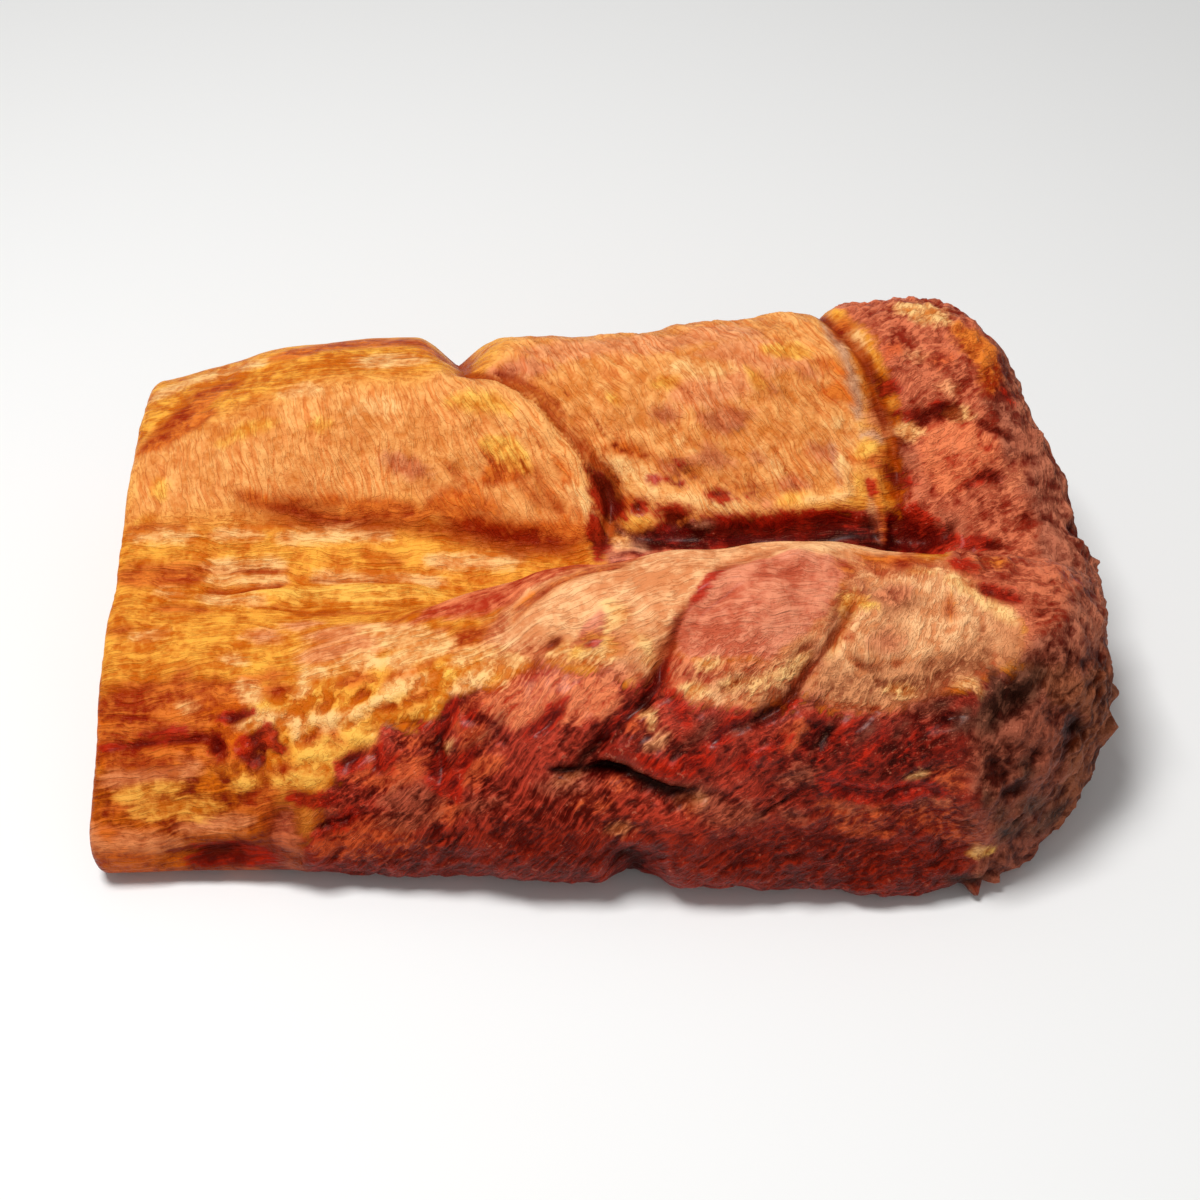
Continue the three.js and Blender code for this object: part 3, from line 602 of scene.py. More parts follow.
# %% Grain zones
END_EDGE = [(290, 0), (282, 1.0), (276, 1.4), (280, 1.75), (280, 2.0), (277, 2.25), (272, 2.5),
            (266, 2.75), (260, 3.0), (263, 3.25), (275, 3.5), (284, 3.75), (290, 4), (288, 4.6),
            (285, 5.0), (288, 5.25), (281, 5.5), (277, 5.75), (284, 6.0), (285, 6.3), (280, 7), (278, 8),
            (280, 9), (290, 10)]
RIGHT_LOBE = [(228, 9.8), (226, 8.6), (229, 7.4), (232, 6.7), (238, 6.3), (241, 6.0), (243, 5.8),
              (246, 5.6), (243, 5.42), (241, 5.2), (240, 4.9), (243, 4.4), (250, 3.95), (255, 3.8),
              (262, 3.7), (268, 3.6), (272, 3.4), (310, 3.4), (330, 5), (310, 9.8)]
GRAIN_ZONES = {
    "crumbled": RIGHT_LOBE,
    "lumpy": [(36, 3.45), (48, 3.6), (70, 3.68), (90, 3.72), (104, 3.62), (118, 3.55), (126, 3.42),
              (104, 3.36), (84, 3.28), (76, 3.1), (66, 2.9), (62, 2.75), (46, 2.75), (36, 2.9),
              (30, 3.15)],
    "wrinkled": [(222, 3.84), (236, 3.86), (248, 3.86), (258, 3.72), (264, 3.62), (267, 3.47),
                 (262, 3.36), (250, 3.24), (242, 3.15), (231, 3.05), (213, 3.08), (195, 3.1), (177, 3.14),
                 (184, 3.26), (200, 3.34), (214, 3.52)],
    "across": [(-5, 6.2), (30, 6.1), (60, 6.2), (96, 6.1), (96, 5.5), (80, 5.42), (40, 5.4), (-5, 5.45)],
    "falling": [(96, 6.15), (110, 6.2), (120, 6.7), (170, 6.9), (215, 6.8), (226, 6.4), (233, 5.9),
                (234, 5.45), (200, 5.3), (150, 5.3), (110, 5.3), (92, 5.45)],
    "rising": [(60, 2.5), (75, 3.1), (88, 3.3), (110, 3.4), (130, 3.5), (165, 3.4), (190, 3.45),
               (210, 3.3), (258, 3.1), (262, 2.7), (276, 2.2), (276, 0), (60, 0)],
}
GRAIN_FADE, END_FADE = 8, 6
grain = {
    name: smooth_step(-GRAIN_FADE, GRAIN_FADE, zone_distance(outline))
    for name, outline in GRAIN_ZONES.items()
}
end_distance = zone_distance(END_EDGE, corners=[(360, 10), (360, 0)])
grain["upright"] = smooth_step(-END_FADE, END_FADE, end_distance)
for name in GRAIN_ZONES:
    grain[name] = grain[name] * (1 - grain["upright"])
lengthwise_share = np.clip(1 - sum(grain.values()), 0, 1)
print("grain zones:", {name: round(float(share.mean()), 2) for name, share in grain.items()})

# %% [markdown]
# ## The skin as it is
#
# All heights are added along the normal of the plain loft: the forms, slow lumps, small relief, bundles
# and fine roughness. The torn end and the crumbled meat are the roughest, and the underside stays flat,
# because the ham rests on it. Where the skin lies lower than what is round it, the value `hollow` says so,
# and the material uses it to paint shade into the creases and hollows.

# %% The finished skin
LUMPS = dict(count=26, longest=70.0, shortest=13.0)
BUNDLES = {
    # height in mm, angle in degrees, size across the grain, size along it, seed
    "lengthwise": (0.25, 0, 4.0, 22, 21),
    "across": (0.3, 105, 3.0, 11, 23),
    "falling": (1.3, 122, 3.2, 16, 25),
    "rising": (1.2, 33, 4.0, 12, 27),
    "crumbled": (1.4, 20, 3.6, 5, 31),
    "lumpy": (1.3, 20, 3.4, 5, 33),
    "wrinkled": (0.9, 68, 3.0, 7, 35),
    "upright": (1.5, 75, 3.8, 7, 29),
}
ROUGHNESS = {"rising": 0.3, "falling": 0.25, "crumbled": 0.6, "lumpy": 0.4, "wrinkled": 0.2}
PLAIN_ROUGHNESS, TORN_ROUGHNESS = 0.12, 1.1
FLAT_BELOW = (0.5, 1.1)
HOLLOW_LIMITS = (-2, 3)
torn = smooth_step(-10, 10, end_distance)
bumpy = lattice_noise(POINTS / 7.0, 11) + 0.6 * lattice_noise(POINTS / 3.2, 12)
grain_shares = {"lengthwise": lengthwise_share, **grain}
fibre_heights = sum(
    height * grain_shares[name] * bundles(angle, across, length, seed)
    for name, (height, angle, across, length, seed) in BUNDLES.items()
)
plain_lumps = (0.5 + smooth_step(90, 270, ALONG)) * waves(POINTS, **LUMPS)
roughness = PLAIN_ROUGHNESS + TORN_ROUGHNESS * torn
roughness = roughness + sum(height * grain[name] for name, height in ROUGHNESS.items())
small_heights = detail_heights + fibre_heights + roughness * bumpy
flat_below = smooth_step(*FLAT_BELOW, np.minimum(abs(STATION), STATIONS - STATION))
heights = (form_heights + plain_lumps + small_heights) * flat_below
SKIN = POINTS + NORMALS * heights[:, None]
SKIN[:, 2] = np.maximum(SKIN[:, 2], 0)


def soften(field, passes):
    """Mean of a net value with its four neighbours, taken over and over."""
    field = field.reshape(N_ROWS, N_COLUMNS)
    for _ in range(passes):
        rows = np.concatenate([field[:1], field, field[-1:]])
        field = (rows[:-2] + rows[2:] + np.roll(field, 1, 1) + np.roll(field, -1, 1) + field) / 5
    return field.ravel()


relief = form_heights + small_heights
softer, softest = soften(relief, 12), soften(relief, 60)
hollow = np.clip(softer - relief, *HOLLOW_LIMITS) + 0.5 * np.clip(softest - softer, *HOLLOW_LIMITS)
print(f"skin moved by {heights.min():.1f} to {heights.max():.1f} mm")

# %% [markdown]
# ## Painting by distance
#
# Each finish of the meat is a list of brush strokes: a radius and a path on the skin. The value kept at
# every vertex is the radius less the distance from the path, in millimetres, so the material can draw the
# edge of the stroke as fine and as ragged as it likes. Zones count as strokes with the distance inside
# them. The base finish is golden amber fat and needs no strokes.

# %% Zones of each finish
ZONES = {
    "russet": [RIGHT_LOBE],
    "upper_end": [
        [(276, 3.5), (284, 3.75), (290, 4), (288, 4.6), (285, 5.0), (288, 5.25), (281, 5.5), (277, 5.75),
         (284, 6.0), (285, 6.3), (280, 7), (278, 8), (345, 8), (345, 3.5)],
    ],
    "rusty": [
        [(-8, 3.02), (-8, 3.76), (8, 3.78), (20, 3.76), (32, 3.78), (40, 3.72), (46, 3.58), (42, 3.4),
         (46, 3.2), (44, 3.02), (30, 3.0), (16, 3.06)],
    ],
    "ochre": [
        [(-8, 1.0), (-8, 3.05), (16, 3.06), (30, 3.0), (44, 3.02), (50, 2.85), (52, 2.6), (56, 2.4),
         (54, 0), (-40, 0), (-40, 1)],
    ],
    "deep": [
        [(196, 2.5), (198, 2.7), (202, 2.9), (206, 3.02), (217, 3.0), (228, 2.99), (240, 3.03),
         (250, 3.1), (260, 3.15), (262, 2.8), (266, 2.5), (240, 2.45), (214, 2.4)],
        [(140, 2.72), (148, 2.8), (160, 2.72), (170, 2.6), (180, 2.66), (184, 2.75), (178, 2.85),
         (166, 2.92), (154, 2.94), (144, 2.86)],
    ],
    "lean": [
        # The front, from the fat on the left to the blunt end.
        [(61, 0), (60, 2.2), (64, 2.5), (69, 2.75), (71, 2.92), (76, 3.05), (82, 3.12), (84, 3.3),
         (92, 3.25), (100, 3.27), (104, 3.38), (112, 3.42), (117, 3.36), (121, 3.3), (124, 3.42),
         (130, 3.47), (137, 3.38), (141, 3.33), (150, 3.33), (157, 3.25), (163, 3.3), (166, 3.2),
         (175, 3.1), (185, 3.08), (196, 3.05), (205, 3.12), (217, 3.08), (228, 3.07), (238, 3.11),
         (246, 3.17), (254, 3.25), (262, 3.3), (270, 3.35), (300, 3.0), (300, 0)],
        # The floor of the valley under the middle lobe.
        [(152, 5.36), (150, 5.1), (157, 4.98), (172, 4.9), (190, 4.9), (210, 4.86), (230, 4.9),
         (242, 4.92), (247, 5.1), (243, 5.34), (228, 5.36), (205, 5.34), (180, 5.36), (165, 5.33)],
    ],
    "tan": [
        [(117, 3.65), (120, 3.82), (127, 3.97), (140, 4.02), (152, 4.01), (163, 4.12), (172, 4.5),
         (186, 4.8), (205, 4.75), (218, 4.85), (232, 4.6), (238, 4.2), (234, 3.95), (222, 3.88),
         (219, 3.84), (210, 3.9), (195, 3.88), (182, 3.81), (175, 3.66), (169, 3.54), (167, 3.4),
         (160, 3.3), (153, 3.33), (148, 3.42), (140, 3.48), (130, 3.52), (122, 3.58)],
        [(222, 3.82), (229, 3.77), (239, 3.85), (247, 3.84), (258, 3.69), (263, 3.62), (266, 3.48),
         (261, 3.4), (256, 3.33), (249, 3.29), (242, 3.21), (231, 3.12), (220, 3.11), (213, 3.16),
         (211, 3.24), (214, 3.34), (218, 3.45), (221, 3.58)],
        [(177, 3.18), (183, 3.26), (193, 3.25), (202, 3.33), (208, 3.4), (213, 3.5), (217, 3.62),
         (219, 3.5), (213, 3.36), (207, 3.26), (200, 3.16), (189, 3.13), (181, 3.11)],
    ],
    "pink": [
        [(219, 3.88), (208, 3.86), (197, 3.85), (182, 3.81), (175, 3.63), (169, 3.51), (168, 3.39),
         (172, 3.35), (179, 3.31), (187, 3.33), (196, 3.29), (202, 3.39), (208, 3.48), (212, 3.55),
         (218, 3.75)],
        [(140, 3.5), (144, 3.62), (148, 3.67), (151, 3.62), (150, 3.5), (146, 3.47)],
    ],
    "salmon": [
        [(89, 4.0), (93, 4.15), (100, 4.45), (112, 4.62), (125, 4.75), (137, 4.9), (150, 4.86),
         (161, 4.95), (173, 4.8), (169, 4.45), (160, 4.06), (150, 4.03), (135, 4.03), (127, 3.99),
         (119, 3.93), (111, 3.93), (100, 3.97)],
        [(251, 5.62), (256, 5.66), (264, 5.67), (271, 5.64), (276, 5.57), (276, 5.48), (268, 5.42),
         (260, 5.36), (255, 5.37), (253, 5.48)],
        [(164, 3.36), (170, 3.4), (178, 3.3), (187, 3.32), (183, 3.25), (177, 3.18), (172, 3.12),
         (166, 3.18)],
        [(112, 3.36), (122, 3.42), (132, 3.44), (141, 3.32), (150, 3.3), (154, 3.2), (150, 3.08),
         (138, 3.08), (124, 3.1), (114, 3.2)],
    ],
    # The bottom band of the front: red-brown meat, darkened as painted shade where it turns under.
    "brown": [
        [(48, 2.6), (56, 2.68), (62, 2.5), (64, 2.25), (80, 2.2), (105, 2.15), (130, 2.3), (150, 2.2),
         (175, 2.2), (200, 2.3), (215, 2.4), (235, 2.35), (250, 2.4), (268, 2.35), (276, 2.1), (276, 0),
         (48, 0)],
    ],
}
print(sum(len(outlines) for outlines in ZONES.values()), "zones")

# %% [markdown]
# ## Streaks and spots
#
# Smoke, fat and juice leave streaks and spots that no pattern would put in the right place. They are
# strokes given one by one: a radius in millimetres, then the places (along, station) that the brush passes.

# %% Strokes of each finish
STROKES = {
    "rust": [
        (5, [(4, 6.25), (12, 6.3), (22, 6.42)]), (4, [(-2, 6.12), (8, 6.15), (22, 6.2)]),
        (3, [(12, 6.5), (22, 6.52), (30, 6.5)]),
        (4, [(40, 6.68), (55, 6.72), (70, 6.75), (88, 6.68), (96, 6.45)]),
        (2.5, [(33, 5.54), (40, 5.47), (48, 5.44), (56, 5.4), (64, 5.36), (74, 5.38)]),
        (3.5, [(68, 5.43), (80, 5.42), (92, 5.4)]), (2, [(46, 5.49), (56, 5.46), (66, 5.46)]),
        (4, [(111, 5.54), (117, 5.58), (124, 5.56)]),
        (3.5, [(92, 5.42), (100, 5.47), (108, 5.44), (116, 5.4)]),
        (4.5, [(98, 5.42), (106, 5.36), (114, 5.33), (122, 5.31), (132, 5.3), (143, 5.3)]),
        (1.2, [(98, 5.62), (104, 5.54), (110, 5.46)]), (1.2, [(118, 5.62), (124, 5.5), (129, 5.42)]),
        (1.2, [(126, 5.6), (132, 5.46), (137, 5.36)]), (1.2, [(133, 5.62), (138, 5.5), (142, 5.38)]),
        (1.0, [(90, 5.58), (96, 5.5), (101, 5.42)]), (1.0, [(110, 5.7), (115, 5.62), (119, 5.55)]),
        (1.8, [(0, 5.06), (10, 5.05), (22, 5.06), (35, 5.06), (48, 5.06)]),
        (3.5, [(-4, 4.96), (10, 4.95), (23, 4.97)]), (1.3, [(-2, 5.4), (8, 5.38), (16, 5.36)]),
        (1.3, [(79, 5.17), (84, 5.16)]), (1.2, [(40, 4.92), (49, 4.95)]),
        (1.2, [(24, 4.85), (34, 4.86), (42, 4.89)]), (1.5, [(60, 4.6), (72, 4.55), (84, 4.5)]),
        (1.5, [(10, 4.58), (20, 4.6), (27, 4.58)]), (1.3, [(53, 4.52), (60, 4.53), (66, 4.52)]),
        (2, [(-2, 4.32), (4, 4.33)]), (2, [(84, 4.1), (92, 4.2), (100, 4.35)]),
        (5.5, [(-4, 3.6), (8, 3.64), (20, 3.64), (31, 3.66)]), (3, [(24, 3.85), (20, 3.78)]),
        (3, [(32, 3.62), (38, 3.66), (46, 3.7)]), (4, [(-4, 3.36), (8, 3.4), (18, 3.4), (30, 3.4)]),
        (3.5, [(2, 3.15), (10, 3.13), (18, 3.12), (24, 3.06)]), (3, [(28, 3.2), (34, 3.12), (38, 3.05)]),
        (2.5, [(47, 3.62), (52, 3.6), (56, 3.6)]), (2, [(47, 3.72), (53, 3.74)]),
        (2.5, [(70, 3.58), (76, 3.62), (80, 3.6)]), (1.5, [(78, 3.52), (76, 3.46)]),
        (2, [(85, 3.57), (92, 3.6), (99, 3.66)]), (1.5, [(62, 3.42), (66, 3.46)]),
        (3, [(62, 3.18), (68, 3.2), (72, 3.17)]), (2.5, [(52, 2.95), (58, 2.92)]),
        (2, [(82, 3.38), (90, 3.42), (98, 3.45)]), (2, [(90, 3.3), (96, 3.33)]),
        (4, [(100, 3.72), (107, 3.75), (113, 3.78)]), (2.5, [(96, 3.85), (103, 3.88)]),
        (3.5, [(42, 2.6), (48, 2.7), (52, 2.78)]), (1.6, [(11, 2.55), (18, 2.54), (27, 2.53)]),
        (2.2, [(1, 2.38), (4, 2.38)]), (1.2, [(0, 2.65), (10, 2.68), (20, 2.7)]),
        (4, [(-3, 1.75), (6, 1.8), (14, 1.85)]), (3, [(-2, 1.5), (6, 1.5), (14, 1.6)]),
        (1.5, [(140, 3.5), (147, 3.5), (152, 3.47)]), (2, [(132, 3.52), (137, 3.53)]),
        (1.2, [(122, 3.84), (130, 3.92), (142, 3.98), (156, 3.99)]),
        (1.0, [(121, 3.76), (127, 3.85), (134, 3.92)]), (2.5, [(222, 3.95), (230, 3.92), (240, 3.92)]),
        (2, [(217, 3.85), (221, 3.8)]), (2, [(258, 4.0), (266, 3.98)]), (1.3, [(248, 3.68), (248, 3.58)]),
        (2.5, [(220, 5.98), (225, 5.93), (229, 5.88)]), (2.5, [(220, 5.82), (226, 5.8), (230, 5.76)]),
        (4, [(230, 5.55), (235, 5.55), (240, 5.55)]), (1.8, [(236, 5.45), (237, 5.35), (238, 5.2)]),
        (4, [(232, 6.45), (231, 6.3), (232, 6.2)]),
        (5, [(272, 6.2), (278, 6.1), (281, 5.95), (278, 5.8)]),
        (2, [(150, 5.66), (157, 5.65), (163, 5.62)]), (2.5, [(150, 5.43), (155, 5.42), (158, 5.47)]),
        (4, [(-2, 7.3), (14, 7.4), (34, 7.35)]), (3, [(30, 7.9), (50, 8.0), (74, 7.9)]),
        (5, [(60, 8.7), (84, 8.8), (104, 8.6)]), (3, [(112, 7.5), (128, 7.6), (146, 7.5)]),
        (4, [(120, 8.3), (144, 8.4), (166, 8.2)]), (3, [(176, 7.9), (196, 8.0), (214, 7.8)]),
        (4, [(-4, 8.6), (10, 8.7), (26, 8.6)]), (3, [(186, 8.8), (204, 8.9), (220, 8.8)]),
        (2, [(60, 7.3), (76, 7.35), (92, 7.3)]), (2, [(120, 7.0), (140, 7.05), (158, 7.0)]),
        (2, [(176, 7.2), (192, 7.25), (208, 7.1)]),
    ],
    "pale": [
        (3.5, [(46, 6.17), (52, 6.15), (58, 6.1)]), (4, [(68, 6.38), (78, 6.38), (90, 6.33)]),
        (2.5, [(66, 5.9), (74, 5.92), (82, 5.93)]), (3, [(-2, 6.72), (10, 6.78), (26, 6.75), (36, 6.65)]),
        (2, [(-2, 5.32), (8, 5.32), (20, 5.3)]), (2, [(24, 5.3), (34, 5.31), (40, 5.29)]),
        (2.2, [(46, 5.28), (56, 5.3), (68, 5.31), (80, 5.3)]), (1.3, [(23, 5.1), (36, 5.1), (47, 5.11)]),
        (2.5, [(94, 5.17), (102, 5.16), (112, 5.17), (123, 5.2)]),
        (1.4, [(24, 4.96), (36, 4.98), (48, 5.0)]),
        (2.0, [(58, 5.03), (70, 5.04), (84, 5.04), (98, 5.02)]),
        (2.2, [(22, 4.78), (32, 4.74), (42, 4.72)]), (2.0, [(10, 4.8), (18, 4.78)]),
        (2.5, [(5, 4.25), (15, 4.28)]), (2, [(33, 3.95), (37, 3.92), (41, 3.9)]),
        (2.5, [(40, 3.68), (46, 3.55)]), (1.6, [(22, 3.57), (27, 3.55)]),
        (2, [(58, 3.7), (64, 3.72), (68, 3.68)]), (3, [(70, 3.78), (76, 3.77), (82, 3.72)]),
        (4.5, [(82, 3.92), (92, 3.88), (100, 3.82)]), (3, [(76, 4.06), (86, 4.02)]),
        (3, [(86, 3.7), (96, 3.74), (104, 3.76)]), (2.4, [(104, 3.6), (112, 3.62)]),
        (2.5, [(84, 3.72), (92, 3.76), (99, 3.8)]), (1.6, [(84, 3.5), (92, 3.52), (100, 3.55)]),
        (2.2, [(40, 3.37), (46, 3.39), (52, 3.4), (58, 3.35), (59, 3.22)]),
        (1.6, [(60, 3.35), (68, 3.33), (74, 3.34), (80, 3.42), (88, 3.48), (95, 3.53)]),
        (2, [(70, 3.68), (68, 3.72)]), (1.5, [(57, 3.52), (60, 3.58), (59, 3.65)]),
        (2.8, [(105, 3.42), (111, 3.45), (118, 3.48)]), (3.2, [(115, 3.5), (121, 3.5), (126, 3.46)]),
        (1.4, [(121, 3.46), (120, 3.36)]), (2, [(112, 3.6), (118, 3.6)]),
        (2.6, [(133, 3.48), (137, 3.49), (139, 3.52)]), (2.6, [(143, 3.43), (149, 3.42), (154, 3.42)]),
        (3, [(150, 3.55), (153, 3.62), (150, 3.68)]), (2.2, [(157, 3.5), (160, 3.45), (162, 3.38)]),
        (1.3, [(103, 3.02), (105, 3.05)]), (1.0, [(157, 3.07), (162, 3.06), (162, 2.98)]),
        (1.8, [(171, 3.18), (177, 3.19)]), (2, [(176, 3.3), (182, 3.32)]),
        (1.2, [(221, 3.68), (220, 3.6), (217, 3.46), (213, 3.34)]),
        (1.3, [(183, 3.2), (192, 3.2), (201, 3.26), (208, 3.34)]),
        (1.0, [(190, 3.15), (198, 3.2), (206, 3.29)]),
        (1.6, [(248, 3.8), (254, 3.74), (262, 3.67), (266, 3.6)]), (1.4, [(236, 3.84), (244, 3.82)]),
        (2, [(232, 3.2), (240, 3.2)]), (1.3, [(252, 3.24), (257, 3.25), (260, 3.2)]),
        (0.9, [(244, 2.65), (250, 2.69)]), (1.6, [(171, 2.43), (177, 2.46)]),
        (2, [(222, 5.68), (227, 5.66), (229, 5.58)]), (1.3, [(225, 5.55), (226, 5.48), (227, 5.4)]),
        (2.6, [(244, 5.64), (248, 5.64), (252, 5.62)]), (1.3, [(233, 5.38), (235, 5.34)]),
        (4, [(170, 6.05), (180, 6.05), (190, 6.0)]), (3, [(150, 5.6), (158, 5.55), (164, 5.53)]),
        (1.6, [(158, 5.5), (168, 5.46), (180, 5.42), (192, 5.39)]),
        (1.6, [(212, 5.4), (222, 5.4), (228, 5.41)]), (1.8, [(150, 5.3), (156, 5.27)]),
        (2.5, [(233, 6.25), (236, 6.0)]), (1.6, [(262, 5.7), (270, 5.68)]),
        (1.4, [(277, 1.9), (280, 1.75)]), (2, [(144, 5.4), (141, 5.46), (138, 5.5)]),
        (1.5, [(170, 5.72), (174, 5.66), (178, 5.62)]), (1.2, [(196, 5.68), (200, 5.6), (204, 5.52)]),
        (3, [(0, 7.6), (16, 7.65), (30, 7.6)]), (3, [(46, 7.6), (64, 7.65), (84, 7.55)]),
        (2.5, [(14, 8.35), (36, 8.4), (52, 8.3)]), (3, [(118, 7.25), (134, 7.3), (150, 7.25)]),
        (3, [(160, 8.0), (178, 8.1), (190, 8.05)]), (2.5, [(196, 7.5), (208, 7.5)]),
        (2.5, [(112, 8.6), (126, 8.65), (140, 8.6)]), (2, [(60, 8.35), (78, 8.4)]),
        (5, [(255, 6.42), (262, 6.32), (268, 6.26)]), (2, [(245, 5.63), (250, 5.6)]),
        (1.6, [(164, 3.34), (160, 3.36)]),
    ],
    "yellow": [
        (3, [(30, 5.92), (38, 5.92), (44, 5.93)]), (2, [(25, 5.88), (30, 5.88)]),
        (2.5, [(55, 5.85), (62, 5.85)]), (2, [(8, 5.6), (6, 5.75)]), (1.5, [(0, 5.44), (6, 5.46)]),
        (3.5, [(100, 5.92), (112, 5.9), (118, 5.85)]), (3, [(112, 5.7), (119, 5.66), (124, 5.58)]),
        (1.6, [(36, 4.78), (46, 4.82), (58, 4.87), (72, 4.9), (88, 4.9), (98, 4.86)]),
        (2.6, [(48, 4.78), (60, 4.8), (75, 4.82), (92, 4.8)]), (2.5, [(150, 5.9), (154, 5.86)]),
        (3, [(203, 6.12), (210, 6.1), (217, 6.05)]), (2.4, [(196, 5.98), (199, 5.9), (202, 5.85)]),
        (3, [(164, 5.95), (172, 5.98)]), (2.5, [(157, 5.52), (163, 5.5)]),
        (2.2, [(154, 5.38), (157, 5.35), (163, 5.35)]), (2, [(204, 5.41), (210, 5.41), (216, 5.4)]),
        (3.5, [(231, 5.57), (236, 5.57)]), (1.6, [(230, 5.48), (233, 5.4)]),
        (3.2, [(61, 3.05), (67, 3.08), (72, 3.06)]), (3.2, [(57, 2.87), (63, 2.86), (67, 2.86)]),
        (3, [(74, 3.22), (80, 3.2)]), (2, [(76, 3.14), (80, 3.14)]),
        (2.2, [(45, 3.48), (50, 3.47), (57, 3.47)]), (1.8, [(52, 2.83), (56, 2.84)]),
        (2.4, [(89, 3.27), (95, 3.29), (99, 3.3)]), (2, [(139, 3.45), (146, 3.46), (152, 3.45)]),
        (3, [(40, 2.83), (46, 2.83)]), (2.5, [(84, 3.45), (92, 3.48)]), (2, [(102, 3.52), (106, 3.5)]),
        (1.6, [(62, 3.45), (66, 3.55)]), (2.5, [(4, 2.8), (14, 2.83), (24, 2.85)]),
        (2, [(226, 3.6), (219, 3.62), (218, 3.52)]), (3, [(10, 2.62), (24, 2.63), (36, 2.62)]),
        (2, [(30, 2.02), (35, 2.0)]), (1.6, [(277, 1.8), (283, 1.75)]),
    ],
    "tan_streak": [
        (6, [(180, 6.15), (200, 6.1), (214, 6.0)]), (6, [(172, 5.88), (186, 5.92), (204, 5.96)]),
        (4, [(150, 3.45), (158, 3.42)]), (5, [(60, 4.08), (74, 4.04), (90, 3.98)]),
        (4, [(58, 3.86), (72, 3.88), (84, 3.9)]), (4, [(188, 5.2), (200, 5.16)]),
        (3, [(212, 5.12), (222, 5.16)]), (3.5, [(0, 2.95), (14, 3.0), (28, 3.03)]),
        (2.2, [(22, 2.4), (32, 2.43), (44, 2.44)]), (4, [(-4, 2.3), (4, 2.2), (12, 2.15), (22, 2.2)]),
        (3, [(125, 6.05), (120, 6.15), (113, 6.2)]),
        (5, [(125, 6.35), (150, 6.4), (175, 6.4), (200, 6.35)]),
        (4, [(45, 6.72), (66, 6.76), (88, 6.72)]), (3.5, [(40, 4.2), (46, 4.15), (50, 4.1)]),
        (3, [(52, 4.3), (62, 4.3)]), (2, [(234, 6.2), (235, 6.05)]),
        (6, [(254, 6.4), (262, 6.4), (270, 6.35)]), (2.5, [(262, 5.8), (266, 5.8)]),
        (1.5, [(252, 5.97), (258, 5.97)]), (1.2, [(136, 2.64), (141, 2.68)]),
        (2, [(150, 2.22), (155, 2.24)]), (1.2, [(162, 2.86), (166, 2.9)]),
        (1.5, [(104, 4.25), (114, 4.4)]), (1.5, [(120, 4.3), (132, 4.5)]),
    ],
    "crust": [
        (2.5, [(146, 2.62), (136, 2.58), (130, 2.58)]), (2, [(110, 2.5), (120, 2.52)]),
        (4, [(84, 2.6), (92, 2.58), (100, 2.6)]), (3.5, [(83, 2.4), (92, 2.42), (99, 2.44)]),
        (2.5, [(130, 2.62), (136, 2.58)]), (3.5, [(169, 2.5), (176, 2.48), (184, 2.4)]),
        (3.5, [(180, 2.3), (190, 2.35), (196, 2.3)]), (3, [(203, 2.6), (208, 2.65), (214, 2.62)]),
        (3, [(203, 2.35), (210, 2.3)]), (2, [(208, 3.1), (212, 3.14)]),
        (2.4, [(240, 3.12), (246, 3.1), (250, 3.14)]), (2.4, [(194, 3.06), (200, 3.07), (206, 3.12)]),
        (4, [(262, 2.9), (266, 2.75), (268, 2.6)]), (5, [(268, 2.4), (274, 2.2), (278, 2.0)]),
        (3, [(224, 2.42), (232, 2.4)]), (2.4, [(246, 5.56), (248, 5.5)]), (2, [(190, 5.72), (194, 5.68)]),
        (1.6, [(219, 3.58), (215, 3.46), (211, 3.34), (206, 3.24)]),
        (1.4, [(205, 3.2), (200, 3.1), (194, 3.02)]), (3.5, [(256, 5.28), (262, 5.2)]),
        (4, [(285, 5.6), (292, 5.7)]), (2.5, [(290, 5.9), (286, 6.0)]),
    ],
    "char": [
        (5, [(262, 3.3), (266, 3.2), (264, 3.08), (260, 3.05)]),
        (5, [(268, 3.12), (272, 3.25), (276, 3.35)]), (3, [(258, 3.12), (256, 3.02), (254, 2.97)]),
        (3.5, [(270, 1.5), (276, 1.4), (282, 1.35)]), (5, [(283, 2.1), (288, 1.95), (292, 1.8)]),
        (4, [(288, 2.3), (293, 2.15), (298, 1.9)]), (3, [(282, 2.75), (284, 2.6)]),
        (2, [(272, 2.55), (273, 2.45)]), (2.5, [(298, 2.95), (302, 2.85)]),
        (3, [(262, 1.2), (272, 1.2), (280, 1.15)]), (4, [(296, 1.7), (302, 1.6), (308, 1.5)]),
        (2, [(280, 2.35), (282, 2.2)]), (1.6, [(252, 3.15), (248, 3.13)]),
        (0.7, [(216, 3.0), (214, 2.9), (210, 2.8)]), (0.7, [(228, 3.0), (225, 2.9)]),
        (0.6, [(240, 3.04), (236, 2.92)]), (0.7, [(180, 3.0), (176, 2.9), (170, 2.82)]),
        (0.6, [(120, 3.2), (115, 3.08), (109, 3.0)]), (1.0, [(198, 3.08), (192, 2.99), (187, 2.93)]),
        (1.2, [(146, 2.88), (142, 2.79), (141, 2.72)]),
        (1.4, [(136, 2.72), (143, 2.72), (149, 2.72), (156, 2.67), (163, 2.56), (172, 2.54)]),
    ],
    # Deep red juice, and also painted shade along the seams, in the crack and under the undercut of the
    # front foot.
    "blood": [
        (1.6, [(-2, 3.26), (10, 3.28), (20, 3.3), (31, 3.3)]), (1.6, [(9, 3.36), (18, 3.35), (26, 3.34)]),
        (3.2, [(33, 3.28), (34, 3.2), (36, 3.12)]), (1.8, [(34, 3.44), (40, 3.42), (45, 3.44)]),
        (5.5, [(44, 3.22), (50, 3.22), (53, 3.15)]), (3.5, [(42, 3.12), (48, 3.05)]),
        (3.5, [(27, 2.0), (36, 1.95), (48, 1.9)]), (3.5, [(25, 1.7), (36, 1.7), (50, 1.75)]),
